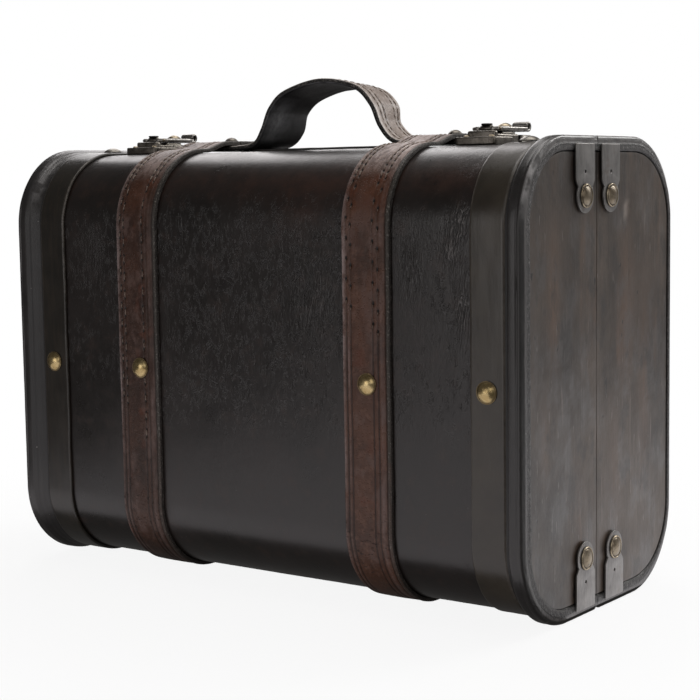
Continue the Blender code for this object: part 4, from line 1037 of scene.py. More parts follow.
def turned(name, at, direction, prof, body, mat, replaces=(), steps=40, seed=0, dent=0.0, smooth=35.0):
    """Profile of (radius, height, dirt) from the crown out, down and back to the axis, turned about direction."""
    a, b, d = frame_of(direction)
    prof = np.array(prof, float)
    ang = np.arange(steps) * 2 * math.pi / steps
    inner = prof[1:-1]
    ring = []
    for r, h, _ in inner:
        hh = h + dent * r / inner[:, 0].max() * fbm(np.cos(ang) * 1.3 + 5, np.sin(ang) * 1.3 + 5, seed, 2) * (h > 0.0004)
        ring.append(np.array(at)[None] + r * (np.cos(ang)[:, None] * a + np.sin(ang)[:, None] * b) + hh[:, None] * d if np.ndim(hh) else None)
    rings = np.array(ring)
    co, faces = loft(rings, cap=None)
    top, low = len(co), len(co) + 1
    co = np.vstack((co, np.array(at) + d * prof[0, 1], np.array(at) + d * prof[-1, 1]))
    n, k = steps, len(inner)
    faces += [[top, (i + 1) % n, i] for i in range(n)]
    faces += [[low, (k - 1) * n + i, (k - 1) * n + (i + 1) % n] for i in range(n)]
    dirt = np.concatenate((np.repeat(inner[:, 2], n), (prof[0, 2], prof[-1, 2])))
    return piece(name, co, faces, body, mat, replaces, smooth, {"dirt": dirt})


def dome(radius, height, flange=0.0006, lip=0.0, ring=True):
    """Dome nail: lens on a thin flange with a soiled line between them."""
    cap = radius * 0.93
    sphere = (cap * cap + height * height) / (2 * height)
    pts = [(0.0, flange + height, 0.0)]
    for k in range(1, 13):
        r = cap * math.sin(math.pi / 2 * k / 12.5)
        h = math.sqrt(max(sphere * sphere - r * r, 0)) - sphere + height + flange
        pts.append((r, h, 0.0 if k < 9 else (k - 8) / 5))
    pts += [(cap * 0.998, flange * 0.80, 1.0), (cap + (radius - cap) * 0.35, flange * 0.72, 1.0), (radius - 0.00018, flange * 0.78, 0.35),
            (radius, flange * 0.5, 0.4), (radius, 0.00005, 0.9), (radius * 0.9, 0.0, 1.0), (0.0, 0.0, 1.0)]
    return pts


def lens(radius, height, flange=0.0008):
    """Flat lens nail with a raised rim round it."""
    cap = radius * 0.80
    sphere = (cap * cap + height * height) / (2 * height)
    pts = [(0.0, flange + height, 0.25)]
    for k in range(1, 11):
        r = cap * k / 10.4
        pts.append((r, math.sqrt(max(sphere * sphere - r * r, 0)) - sphere + height + flange, 0.25 + 0.30 * (k / 10) ** 3))
    pts += [(cap, flange * 0.70, 1.0), (cap + (radius - cap) * 0.22, flange * 0.62, 1.0), (cap + (radius - cap) * 0.42, flange * 1.15, 0.0),
            (cap + (radius - cap) * 0.70, flange * 1.25, 0.0), (radius - 0.00016, flange * 0.95, 0.1), (radius, flange * 0.55, 0.5),
            (radius, 0.00005, 1.0), (radius * 0.9, 0.0, 1.0), (0.0, 0.0, 1.0)]
    return pts


FACE_NAILS = {"band_left": -0.1785, "strap_left": -0.0935, "strap_right": 0.0983, "band_right": 0.1842}
TOP_NAILS = {"band_left": (-0.1785, -0.0315), "band_right": (0.1842, -0.0445)}
NAIL_Z = 0.148


def nails():
    seed = 100
    for where, x in FACE_NAILS.items():
        level = STRAP_LEVEL if "strap" in where else BAND_LEVEL[where.split("_")[1]]
        for half, side in SIDES.items():
            seed += 3
            turned("nail_%s_%s" % (half, where), (x, side * (HALF_DEPTH - level + 0.0003), NAIL_Z), (0, side, 0), dome(0.0070, 0.0026),
                   HALF_BODY[half], M["brass"], ("nail_%s_%s" % (half, where),), 44, seed, 0.00018)
    for where, (x, y) in TOP_NAILS.items():
        level = BAND_LEVEL[where.split("_")[1]]
        turned("nail_top_" + where, (x, y, HEIGHT - level + 0.0003), (0, 0, 1), dome(0.0070, 0.0026), "front_half", M["bronze_edge"],
               ("nail_top_" + where,), 44, 151, 0.00025)
    for end, sx in ENDS.items():
        for level, half, y in (("top", "front", -0.0240), ("top", "back", 0.0098), ("bottom", "front", -0.0237), ("bottom", "back", 0.0152)):
            seed += 5
            tag = "_%s_%s_%s" % (level, half, end)
            z = HEIGHT - 0.0052 - 0.032 if level == "top" else 0.0052 + 0.032
            turned("nail_end" + tag, (sx * (0.2098 + 0.0003 + 0.0012 + 0.0003), y, z), (sx, 0, 0), lens(0.0075, 0.0017), HALF_BODY[half],
                   M["brass_end"], ("nail_end" + tag,), 44, seed, 0.00016)


# ------------------------------------------------------------------ metal straps on the ends
def outlined(name, loops, x, thickness, sx, body, mats, replaces, bevel=0.00028):
    """Flat plate in a YZ plane with rounded rims, its outer face towards sx."""
    name += "_fine"
    curve = bpy.data.curves.new(name + "_line", "CURVE")
    curve.dimensions, curve.fill_mode = "2D", "BOTH"
    curve.bevel_depth, curve.bevel_resolution, curve.offset = bevel, 2, -bevel
    curve.extrude = thickness / 2 - bevel
    for pts in loops:
        spline = curve.splines.new("POLY")
        spline.points.add(len(pts) - 1)
        for p, (u, v) in zip(spline.points, pts):
            p.co = (u, v, 0, 1)
        spline.use_cyclic_u = True
    tmp = bpy.data.objects.new(name + "_tmp", curve)
    scene.collection.objects.link(tmp)
    bpy.context.view_layer.update()
    me = bpy.data.meshes.new_from_object(tmp.evaluated_get(bpy.context.evaluated_depsgraph_get()))
    bpy.data.objects.remove(tmp)
    bpy.data.curves.remove(curve)
    me.transform(Matrix(((0, 0, 1, x), (1, 0, 0, 0), (0, 1, 0, 0), (0, 0, 0, 1))))
    bm = bmesh.new()
    bm.from_mesh(me)
    bmesh.ops.remove_doubles(bm, verts=bm.verts, dist=2e-6)
    bmesh.ops.recalc_face_normals(bm, faces=bm.faces)
    for f in bm.faces:
        f.material_index = 0 if abs(f.normal.x) > 0.97 or f.normal.x * sx < -0.2 else 1
        f.smooth = True
    bm.to_mesh(me)
    bm.free()
    me.materials.clear()
    for m in mats:
        me.materials.append(m)
    me.set_sharp_from_angle(angle=math.radians(50))
    ob = bpy.data.objects.new(name, me)
    scene.collection.objects.link(ob)
    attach(ob, body)
    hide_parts(*replaces)
    return ob


def end_straps():
    w, r, neck = 0.0120, 0.0105, 0.0086
    for end, sx in ENDS.items():
        for level, half, y in (("top", "front", -0.0240), ("top", "back", 0.0098), ("bottom", "front", -0.0237), ("bottom", "back", 0.0152)):
            up = -1.0 if level == "top" else 1.0
            z0 = HEIGHT - 0.0052 if level == "top" else 0.0052
            pts = []
            for cx, cv, a0 in ((-w + 0.0008, 0.0008, math.pi), (w - 0.0008, 0.0008, 1.5 * math.pi)):
                pts += [(cx + 0.0008 * math.cos(a0 + k * math.pi / 8), cv + 0.0008 * math.sin(a0 + k * math.pi / 8)) for k in range(5)]
            pts += [(w, 0.0220), (w - 0.0003, 0.0228), (neck + 0.0006, 0.0262), (neck, 0.0270)]
            a0 = -math.pi / 2 + 1.05
            pts += [(r * math.cos(a0 + (2 * math.pi - 2.10) * k / 40), 0.032 + r * math.sin(a0 + (2 * math.pi - 2.10) * k / 40)) for k in range(41)]
            pts += [(-neck, 0.0270), (-neck - 0.0006, 0.0262), (-w + 0.0003, 0.0228), (-w, 0.0220)]
            hole = [(0.0011 * math.cos(2 * math.pi * k / 16), 0.0170 + 0.0011 * math.sin(2 * math.pi * k / 16)) for k in range(16)]
            loops = [[(y + u, z0 + up * v) for u, v in q] for q in (pts, hole)]
            tag = "_%s_%s_%s" % (level, half, end)
            outlined("end_strap" + tag, loops, sx * (0.2098 + 0.0003 + 0.0006), 0.0012, sx, HALF_BODY[half],
                     [M["steel"], M["steel_edge"]], ("end_strap" + tag,))


# ------------------------------------------------------------------ wooden end boards
def lip_scale(side, s):
    """How wide the rim's lip is on the end: wider than its mean in front, narrower behind."""
    y, z, ny, nz = path(side, np.asarray(s, float))
    t = np.abs(ny) ** 1.5
    return 1.0 + t * (0.38 if side < 0 else -0.50)


def board_inset(side, s):
    return 0.0100 * lip_scale(side, s) + 0.0006


def end_boards():
    for end, sx in ENDS.items():
        for half, side in SIDES.items():
            s = samples(side, 0.0030, ends=(0.0, 0.001, 0.002))
            y, z, ny, nz = path(side, s)
            edge = SEAM_Y + side * SEAM_GAP
            m = np.array((edge, 0.150))

            def at(inset):
                return np.stack((y - ny * inset, z - nz * inset), 1)

            face_e = np.minimum(board_inset(side, s), 0.0103)
            rows = []                                       # each row: x, and (y, z) for every s
            ts = np.concatenate(([0.0], np.linspace(0.04, 0.985, 26), [0.993]))
            for t in ts:
                p = m + (at(face_e) - m) * t
                rows.append((0.2090, p, 1.0 if t < 0.99 else 0.6))
            rows.append((0.2088, at(face_e), 0.0))
            rows.append((0.2052, at(face_e), 0.0))
            rows.append((0.2052, at(np.full(len(s), 0.0103)), 0.0))
            rows.append((0.1995, at(np.full(len(s), 0.0103)), 0.0))
            for t in (0.66, 0.33, 0.0):
                rows.append((0.1995, m + (at(np.full(len(s), 0.0103)) - m) * t, 0.0))
            co = []
            for x, p, wt in rows:
                yy, zz = p[:, 0], p[:, 1]
                dip = 0.00012 * fbm(yy / 0.022, zz / 0.090, 60 + 3 * sx + side, 3) + 0.00012
                if end == "right" and half == "back":      # old knock in the wood
                    dip = dip + 0.0010 * np.exp(-((yy - 0.036) / 0.0038) ** 2 - ((zz - 0.2528) / 0.0056) ** 2)
                xx = x - wt * dip
                xx = np.where(np.abs(yy - edge) < 1e-6, x - wt * 0.0003, xx)
                co.append(np.stack((sx * xx, yy, zz), 1))
            rings = np.array(co).transpose(1, 0, 2)         # along s, then across
            points, faces = loft(rings, cap=None, closed=False)
            k, n = rings.shape[:2]
            a = np.arange(k * n).reshape(k, n)
            faces += [a[0].tolist(), a[-1][::-1].tolist()]
            name = "end_board_%s_%s" % (half, end)
            py, pz = points[:, 1] * sx, points[:, 2]
            red = np.zeros(len(points))
            for y0, z0, wy, wz, a in ((-0.060, 0.200, 0.007, 0.040, 0.8), (-0.071, 0.115, 0.006, 0.030, 0.45), (0.036, 0.190, 0.009, 0.050, 0.7),
                                      (0.061, 0.140, 0.008, 0.060, 0.5), (0.020, 0.090, 0.010, 0.040, 0.35), (-0.030, 0.070, 0.012, 0.030, 0.3)):
                red = np.maximum(red, a * bell(py, y0, wy) * bell(pz, z0, wz))
            dent = bell(points[:, 1], 0.0355, 0.0030) * bell(pz, 0.2532, 0.0048) * (1.0 if (end == "right" and half == "back") else 0.0)
            ob = piece(name, points, faces, HALF_BODY[half], M["board"], (name,), 35, {"red": red, "dent": dent}, recalc=False)
            bm = bmesh.new()
            bm.from_mesh(ob.data)
            bmesh.ops.remove_doubles(bm, verts=bm.verts, dist=1e-6)
            bmesh.ops.dissolve_degenerate(bm, dist=1e-7, edges=bm.edges)
            bmesh.ops.recalc_face_normals(bm, faces=bm.faces)
            for f in bm.faces:
                f.smooth = True
            bm.to_mesh(ob.data)
            bm.free()
            ob.data.set_sharp_from_angle(angle=math.radians(35))


# ------------------------------------------------------------------ handle
ARCH_FRONT = [(-0.1120, 0.0), (-0.0730, 0.0), (-0.0568, 0.0026), (-0.0492, 0.0122), (-0.0415, 0.0272), (-0.0280, 0.0377),
              (0.0020, 0.0441), (0.0310, 0.0392), (0.0450, 0.0272), (0.0525, 0.0122), (0.0620, 0.0024), (0.0760, 0.0), (0.1120, 0.0)]
ARCH_BACK = [(-0.1120, 0.0), (-0.0770, 0.0), (-0.0560, 0.0022), (-0.0450, 0.0112), (-0.0405, 0.0247), (-0.0270, 0.0347),
             (-0.0010, 0.0407), (0.0240, 0.0377), (0.0375, 0.0272), (0.0400, 0.0137), (0.0540, 0.0026), (0.0750, 0.0), (0.1120, 0.0)]
HANDLE_FRONT, HANDLE_BACK, HANDLE_T, HANDLE_MID_Z = -0.0160, 0.0270, 0.0034, 0.2985


def smooth_curve(points, per_span):
    pts = [np.array(points[0])] + [np.array(p) for p in points] + [np.array(points[-1])]
    out = []
    for i in range(1, len(pts) - 2):
        p0, p1, p2, p3 = pts[i - 1:i + 3]
        for k in range(per_span):
            t = k / per_span
            out.append(0.5 * ((2 * p1) + (p2 - p0) * t + (2 * p0 - 5 * p1 + 4 * p2 - p3) * t * t + (3 * p1 - p0 - 3 * p2 + p3) * t ** 3))
    out.append(pts[-1])
    return np.array(out)


def handle():
    front, back = smooth_curve(ARCH_FRONT, 14), smooth_curve(ARCH_BACK, 14)
    k = len(front)
    # v runs over the width, h is the place in the thickness: -1 lining side, +1 outside
    edge = 0.030
    ang = np.linspace(-math.pi / 2, math.pi / 2, 9)
    ring = []
    for a in ang:                                   # back edge, from the lining side up
        ring.append((1 - edge + edge * math.cos(a), math.sin(a)))
    rows = (0.170, 0.310, 0.720, 0.860)
    fine = np.unique(np.round(np.concatenate([np.linspace(edge, 1 - edge, 30)[1:-1]] + [r + np.array((-0.024, -0.012, 0.0, 0.012, 0.024)) for r in rows]), 3))
    for v in fine[::-1]:
        ring.append((v, 1.0))
    for a in ang[::-1]:
        ring.append((edge - edge * math.cos(a), math.sin(a)))
    for v in np.linspace(edge, 1 - edge, 26)[1:-1]:
        ring.append((v, -1.0))
    ring = np.array(ring)
    v, h = ring[:, 0], ring[:, 1]
    n = len(ring)

    def surface(vv):
        """Mid-surface points for widths vv, shape (k, len(vv), 3)."""
        x = front[:, 0][:, None] + (back[:, 0] - front[:, 0])[:, None] * vv
        z = front[:, 1][:, None] + (back[:, 1] - front[:, 1])[:, None] * vv
        t = np.clip((np.abs(x) - 0.1055) / 0.0065, 0, 1)
        narrow = 1 - (1 - np.sqrt(1 - t * t)) * 0.30
        y = HANDLE_FRONT + (HANDLE_BACK - HANDLE_FRONT) * (0.5 + (vv[None] - 0.5) * narrow)
        return np.stack((x, y, HANDLE_MID_Z + z), 2)

    def normals(p):
        du, dv = np.gradient(p, axis=0), np.gradient(p, axis=1)
        nn = np.cross(du, dv)
        return nn / np.linalg.norm(nn, axis=2)[..., None]

    vs = np.linspace(0, 1, 41)
    grid = surface(vs)
    nrm = normals(grid)
    nrm_at = np.stack([np.stack([np.interp(v, vs, nrm[i, :, c]) for c in range(3)], 1) for i in range(k)])
    pts = surface(v)
    run = np.concatenate(([0], np.cumsum(np.linalg.norm(np.diff((front + back) / 2, axis=0), axis=1))))
    sg = np.repeat(run[:, None], n, 1)
    vg, hg = np.repeat(v[None], k, 0), np.repeat(h[None], k, 0)
    out_side = (hg > 0.95) * 1.0
    groove = np.maximum.reduce([bell(vg, r, 0.024) for r in rows]) * out_side * np.clip(0.70 + 0.9 * noise(sg / 0.0045, vg / 0.1, 83), 0.15, 1)
    thick = HANDLE_T / 2 * hg
    arch = np.clip(pts[..., 2] - 0.303, 0, 0.03) / 0.03
    crown = 0.00015 * (1 - (2 * vg - 1) ** 2) * out_side
    lump = 0.00012 * fbm(sg / 0.018, vg / 0.35, 81, 3)
    folds = (hg < -0.95) * arch * (0.00055 * np.clip(noise(sg / 0.030, vg / 0.13, 84), 0, 1) ** 2 + 0.00022 * fbm(sg / 0.010, vg / 0.09, 85, 2))
    seam = bell(hg, -0.35, 0.16) * 0.00028 * (np.abs(vg - 0.5) > 0.47)
    offset = thick + crown + lump * np.sign(hg) - 0.00055 * groove - folds * 1.0
    pts = pts + nrm_at * offset[..., None]
    pts[..., 1] += np.sign(0.5 - vg) * seam
    co, faces = loft(pts)
    quad_low = np.array([1 if (h[i] < -0.30 and h[(i + 1) % n] < -0.30) else 0 for i in range(n)])
    index = np.concatenate((np.tile(quad_low, k - 1), [0, 0]))
    wear = np.clip((bell(vg, 0.030, 0.035) + bell(vg, 0.970, 0.035) + 0.7 * bell(vg, 0.24, 0.025) + 0.6 * bell(vg, 0.79, 0.025)) * (0.65 + 0.5 * noise(sg / 0.02, 0.3, 88)), 0, 1) * (hg > 0.6)
    cut = np.clip((np.abs(hg) < 0.75) * (np.abs(vg - 0.5) > 0.472) * 1.0, 0, 1)
    rub = np.clip(1.0 * (pts[..., 0] < -0.030) * bell(pts[..., 2], 0.318, 0.012) * bell(vg, 0.24, 0.26) * (hg < 0)
                  + 0.50 * bell(pts[..., 0], 0.008, 0.018) * bell(vg, 0.10, 0.35) * (hg < 0), 0, 1)
    crest = noise(sg / 0.034, vg / 0.12, 84)
    rub = np.maximum(rub, 0.75 * bell(pts[..., 0], 0.010, 0.020) * (hg < -0.9) * arch * np.clip(1 - np.abs(crest - 0.1) / 0.16, 0, 1))
    piece("handle", co, faces, "back_half", [M["handle"], M["suede"]], ("handle",), 60,
          {"s": sg, "groove": groove, "edge": wear, "cut": cut, "rub": rub, "pit": 0 * sg, "low": 0 * sg}, index)
    # sewing along both edges, through the outside
    parts, count = [], 0
    for r in rows:
        col = surface(np.array([r - 0.01, r, r + 0.01]))
        nn = normals(col)[:, 1]
        line = col[:, 1]
        dist = np.concatenate(([0], np.cumsum(np.linalg.norm(np.diff(line, axis=0), axis=1))))
        pos = 0.0060 + 0.002 * r
        while pos < dist[-1] - 0.006:
            t = np.linspace(-1, 1, 6)
            q = pos + t * 0.0019
            p = np.stack([np.interp(q, dist, line[:, c]) for c in range(3)], 1)
            m = np.stack([np.interp(q, dist, nn[:, c]) for c in range(3)], 1)
            m /= np.linalg.norm(m, axis=1)[:, None]
            p = p + m * (HANDLE_T / 2 + 0.00005 - 0.0005 * np.abs(t) ** 5)[:, None]
            c, f = thread_run(p, m, 0.00042)
            parts.append((c, f, {"s": np.full(len(c), pos), "tone": np.full(len(c), 0.5 + 0.5 * rnd(count, 2, 90))}))
            pos += 0.0052
            count += 1
    co, faces, attrs = joined(parts)
    piece("handle_stitching", co, faces, "back_half", M["thread"], (), 80, attrs)
    for end, sx in ENDS.items():
        turned("handle_rivet_" + end, (sx * 0.0970, 0.0080, 0.3034 + 0.0003), (0, 0, 1), dome(0.0050, 0.0026),
               "back_half", M["bronze"], ("handle_rivet_" + end,), 36, 7, 0.0001)


# ------------------------------------------------------------------ small turned screws
def screw(name, at, direction, radius, height, body, mat, turn=0.5):
    """Round head with a sawn slot."""
    a, b, d = frame_of(direction)
    n = 32
    prof = [(radius * math.sin(t), height * (0.25 + 0.75 * math.cos(t) ** 0.8)) for t in np.linspace(0.0, math.pi / 2 - 0.02, 9)[1:]]
    prof += [(radius, height * 0.2), (radius, 0.0)]
    ang = np.arange(n) * 2 * math.pi / n
    rings, dirt = [], []
    slot_w = radius * 0.17
    c, s_ = math.cos(turn), math.sin(turn)
    for r, h in prof:
        across = r * np.cos(ang) * c + r * np.sin(ang) * s_
        inside = np.clip(1.6 - np.abs(across) / slot_w, 0, 1) * (h > height * 0.25)
        hh = h - inside * height * 0.45
        hh = np.where(inside > 0, np.maximum(hh, height * 0.22), hh)
        rings.append(np.array(at) + r * (np.cos(ang)[:, None] * a + np.sin(ang)[:, None] * b) + hh[:, None] * d)
        dirt.append(inside)
    co, faces = loft(np.array(rings), cap=None)
    top, low = len(co), len(co) + 1
    k = len(prof)
    co = np.vstack((co, np.array(at) + d * height * 0.55, np.array(at)))
    faces += [[top, (i + 1) % n, i] for i in range(n)] + [[low, (k - 1) * n + i, (k - 1) * n + (i + 1) % n] for i in range(n)]
    return piece(name, co, faces, body, mat, (), 30, {"dirt": np.concatenate((np.concatenate(dirt), (1.0, 1.0)))})


def soften(node, width, mats, angle=35.0, segments=2):
    """Fine rounded edges and a finish for a CAD part that keeps its shape."""
    ob = NODES[node]
    ob.data.materials.clear()
    for m in mats:
        ob.data.materials.append(m)
    weld = ob.modifiers.new("weld", "WELD")
    weld.merge_threshold = 0.00001
    bevel = ob.modifiers.new("edge", "BEVEL")
    bevel.width = width
    bevel.segments = segments
    bevel.limit_method = "ANGLE"
    bevel.angle_limit = math.radians(angle)
    bevel.miter_outer = "MITER_ARC"
    bevel.use_clamp_overlap = True
    bevel.material = len(mats) - 1 if len(mats) > 1 else -1
    return ob


def filleted(corners, steps=7):
    """Closed outline through (u, v, radius) corners, each rounded by an arc."""
    pts = []
    for k, (u, v, r) in enumerate(corners):
        p = np.array((u, v), float)
        a, b = np.array(corners[k - 1][:2], float) - p, np.array(corners[(k + 1) % len(corners)][:2], float) - p
        la, lb = np.linalg.norm(a), np.linalg.norm(b)
        a, b = a / la, b / lb
        half = math.acos(max(-1.0, min(1.0, float(a @ b)))) / 2
        if r < 1e-6 or half > math.pi / 2 - 0.02:
            pts.append(p)
            continue
        mid = (a + b) / np.linalg.norm(a + b)
        centre = p + mid * r / math.sin(half)
        start, stop = p + a * r / math.tan(half) - centre, p + b * r / math.tan(half) - centre
        t0, t1 = math.atan2(start[1], start[0]), math.atan2(stop[1], stop[0])
        turn = (t1 - t0 + math.pi) % (2 * math.pi) - math.pi
        pts += [centre + r * np.array((math.cos(t0 + turn * q / steps), math.sin(t0 + turn * q / steps))) for q in range(steps + 1)]
    return pts


def stamped(name, outline, z0, z1, body, mats, replaces=(), bevel=0.0007):
    """Flat plate with rounded rims, lying level between two heights."""
    curve = bpy.data.curves.new(name + "_line", "CURVE")
    curve.dimensions, curve.fill_mode = "2D", "BOTH"
    curve.bevel_depth, curve.bevel_resolution, curve.offset = bevel, 4, -bevel
    curve.extrude = (z1 - z0) / 2 - bevel
    spline = curve.splines.new("POLY")
    spline.points.add(len(outline) - 1)
    for p, (u, v) in zip(spline.points, outline):
        p.co = (u, v, 0, 1)
    spline.use_cyclic_u = True
    tmp = bpy.data.objects.new(name + "_tmp", curve)
    scene.collection.objects.link(tmp)
    bpy.context.view_layer.update()
    me = bpy.data.meshes.new_from_object(tmp.evaluated_get(bpy.context.evaluated_depsgraph_get()))
    bpy.data.objects.remove(tmp)
    bpy.data.curves.remove(curve)
    me.transform(Matrix.Translation((0, 0, (z0 + z1) / 2)))
    bm = bmesh.new()
    bm.from_mesh(me)
    bmesh.ops.remove_doubles(bm, verts=bm.verts, dist=2e-6)
    bmesh.ops.recalc_face_normals(bm, faces=bm.faces)
    for f in bm.faces:
        f.material_index = 0 if abs(f.normal.z) > 0.97 or abs(f.normal.z) < 0.25 or f.normal.z < 0 else 1
        f.smooth = True
    bm.to_mesh(me)
    bm.free()
    me.materials.clear()
    for m in mats:
        me.materials.append(m)
    me.set_sharp_from_angle(angle=math.radians(40))
    ob = bpy.data.objects.new(name, me)
    scene.collection.objects.link(ob)
    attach(ob, body)
    if replaces:
        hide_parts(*replaces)
    return ob


def bar_ring(w, t, n=5, power=0.30):
    """Section of a flat bar with rounded corners: (across, through) points."""
    r = min(t * 0.92, 0.00085)
    pts = []
    for sa, sb, start in ((1, 1, 0.0), (-1, 1, 90.0), (-1, -1, 180.0), (1, -1, 270.0)):
        for q in range(n):
            ang = math.radians(start + 90.0 * q / (n - 1))
            pts.append((sa * (w - r) + r * math.cos(ang), sb * (t - r) + r * math.sin(ang)))
    return np.array(pts)


def latch_parts(end, cx, body):
    """Mounting plate, spring housing, knuckle, pin, hasp arm and its rolled tip."""
    ay, az = -0.0305, 0.3055
    tip_from, curl_y = (0.0020, 0.0080) if end == "left" else (0.0065, 0.0125)
    lo, hi = az - 0.0015, az + 0.0013
    low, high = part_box("latch_base_" + end)
    dark, light = [M["bronze"], M["bronze_edge"]], [M["bronze_light"], M["bronze_shine"]]
    plate = filleted([(cx - 0.0165, -0.0430, 0.0026), (cx + 0.0130, -0.0430, 0.0022), (cx + 0.0130, -0.0190, 0.0022), (cx - 0.0130, -0.0190, 0.0022), (cx - 0.0165, -0.0290, 0.0030)])
    stamped("latch_mount_" + end, plate, low[2], 0.3004, "front_half", dark, ("latch_base_" + end,), 0.0009)
    case = filleted([(cx - 0.0108, -0.0372, 0.0030), (cx + 0.0108, -0.0372, 0.0030), (cx + 0.0108, -0.0215, 0.0016), (cx + 0.0096, -0.0195, 0.0016),
                     (cx + 0.0096, high[1], 0.0014), (cx - 0.0096, high[1], 0.0014), (cx - 0.0096, -0.0195, 0.0016), (cx - 0.0108, -0.0215, 0.0016)])
    stamped("latch_housing_" + end, case, low[2] + 0.0001, 0.3022, "front_half", dark, (), 0.0012)
    # raised shoulders of the housing in front of the knuckle and under the arm
    front = filleted([(cx - 0.0102, -0.0386, 0.0022), (cx + 0.0102, -0.0386, 0.0022), (cx + 0.0102, ay - 0.0034, 0.0010), (cx - 0.0102, ay - 0.0034, 0.0010)])
    stamped("latch_shoulder_" + end, front, low[2] + 0.0002, az - 0.0013, "front_half", dark, (), 0.0013)
    rest = filleted([(cx - 0.0093, ay + 0.0037, 0.0010), (cx + 0.0093, ay + 0.0037, 0.0010), (cx + 0.0093, -0.0092, 0.0030), (cx - 0.0093, -0.0092, 0.0030)])
    stamped("latch_rest_" + end, rest, low[2] + 0.0002, lo - 0.0004, "front_half", dark, (), 0.0012)
    # knuckle: barrel on a web, its ends rounded
    rings = []
    for x, k in ((-0.0040, 0.80), (-0.0039, 0.93), (-0.0036, 1.0), (0.0036, 1.0), (0.0039, 0.93), (0.0040, 0.80)):
        ring = [(0.0022 * math.cos(t), 0.0022 * math.sin(t)) for t in np.linspace(math.radians(-48), math.radians(228), 25)]
        ring += [(-0.00147, -0.0036), (0.00147, -0.0036)]
        rings.append([(cx + x, ay + u * k, az + v * k) for u, v in ring])
    co, faces = loft(np.array(rings))
    z = co[:, 2] - az
    piece("latch_knuckle_" + end, co, faces, "front_half", M["bronze"], (), 40, {"dirt": np.clip(-z / 0.002, 0, 1)})
    pin = [(0.0, 0.01040, 0.2), (0.0006, 0.01032, 0.2), (0.0009, 0.01010, 0.3), (0.0010, 0.00980, 0.8), (0.0010, -0.00980, 0.8), (0.0009, -0.01010, 0.3), (0.0006, -0.01032, 0.2), (0.0, -0.01040, 0.2)]
    turned("latch_pin_" + end, (cx, ay, az), (1, 0, 0), pin, "front_half", M["brass_end"], (), 20, 2, 0.0)
    # flat riveted head on top of the knuckle
    cap = [(0.0, 0.0012, 0.3), (0.0024, 0.0012, 0.3), (0.0033, 0.0011, 0.4), (0.0036, 0.0008, 0.5), (0.0036, 0.0004, 0.8), (0.0033, 0.0, 1.0), (0.0022, -0.0006, 1.0), (0.0, -0.0006, 1.0)]
    turned("latch_knuckle_cap_" + end, (cx, ay, az + 0.0021), (0, 0, 1), cap, "front_half", M["bronze_dark"], (), 36, 3, 0.0)
    # hasp arm: two ears on the pin, a plate with round corners, a narrow tip that rolls up
    w, t, n = 0.01025, 0.0056, 0.0044
    arm = filleted([(cx - w, ay - 0.0028, 0.0044), (cx - n, ay - 0.0028, 0.0010), (cx - n, ay + 0.0050, 0.0010), (cx + n, ay + 0.0050, 0.0010),
                    (cx + n, ay - 0.0028, 0.0010), (cx + w, ay - 0.0028, 0.0044), (cx + w, tip_from - 0.0025, 0.0045), (cx + t, tip_from + 0.0034, 0.0030),
                    (cx + t, curl_y - 0.0006, 0.0006), (cx - t, curl_y - 0.0006, 0.0006), (cx - t, tip_from + 0.0034, 0.0030), (cx - w, tip_from - 0.0025, 0.0045)])
    stamped("latch_hasp_" + end, arm, lo, hi, body, light, ("latch_arm_" + end,), 0.0009)
    radius, half = 0.0033, 0.00085
    r = radius - half
    line = [(curl_y - 0.0050 + 0.0050 * q / 4, lo + half, math.pi / 2, 1.0, t + 0.0002) for q in range(5)]
    for q in range(1, 41):
        ang = -math.pi / 2 + math.radians(285) * q / 40
        fade = max(0.0, (q - 34) / 6)
        rr = r - 0.00055 * max(0.0, (q - 22) / 18)
        line.append((curl_y + rr * math.cos(ang), lo + radius + rr * math.sin(ang), ang + math.pi, 1.0 - 0.55 * fade ** 2, (t + 0.0002) * (1 - 0.10 * fade ** 2)))
    rings = []
    for y, zz, ang, thin, wide in line:
        ring = bar_ring(wide, half)
        rings.append(np.stack((cx + ring[:, 0], y + ring[:, 1] * thin * math.cos(ang), zz + ring[:, 1] * thin * math.sin(ang)), 1))
    co, faces = loft(np.array(rings))
    k = len(line)
    inner = np.repeat(np.linspace(0, 1, k)[:, None], len(ring), 1) * np.clip(ring[None, :, 1] / half, 0, 1)
    piece("latch_tip_" + end, co, faces, body, M["bronze_light"], (), 50, {"dirt": np.clip(inner.ravel() * 1.2, 0, 1)})
    turned("latch_rivet_" + end, (cx, -0.0085, hi), (0, 0, 1), dome(0.0050, 0.0021), body, M["brass_end"], ("latch_rivet_" + end,), 36, 17, 0.0001)


def fittings():
    for end, sx in ENDS.items():
        cx = LATCH_X[end]
        soften("latch_keeper_" + end, 0.00070, [M["bronze"], M["bronze_edge"]])
        latch_parts(end, cx, "latch_arm_l" if end == "left" else "latch_arm_r")
        for k, dx in enumerate((-0.0092, 0.0092)):
            screw("latch_screw_%s_%d" % (end, k + 1), (cx + dx, -0.0400, 0.3004), (0, 0, 1), 0.0019, 0.0011, "front_half", M["brass_end"], 0.4 + k)
        for half, side in SIDES.items():
            soften("hinge_%s_%s" % (half, end), 0.00018, [M["brass_end"], M["brass"]], 40.0, 1)
            for k, dx in enumerate((-0.0105, 0.0, 0.0105)):
                screw("hinge_screw_%s_%s_%d" % (half, end, k + 1), (sx * 0.060 + dx, SEAM_Y + side * (0.0150 if k != 1 else 0.0105), 0.0037), (0, 0, -1),
                      0.0021, 0.0011, HALF_BODY[half], M["brass_end"], 0.3 + 0.9 * k)


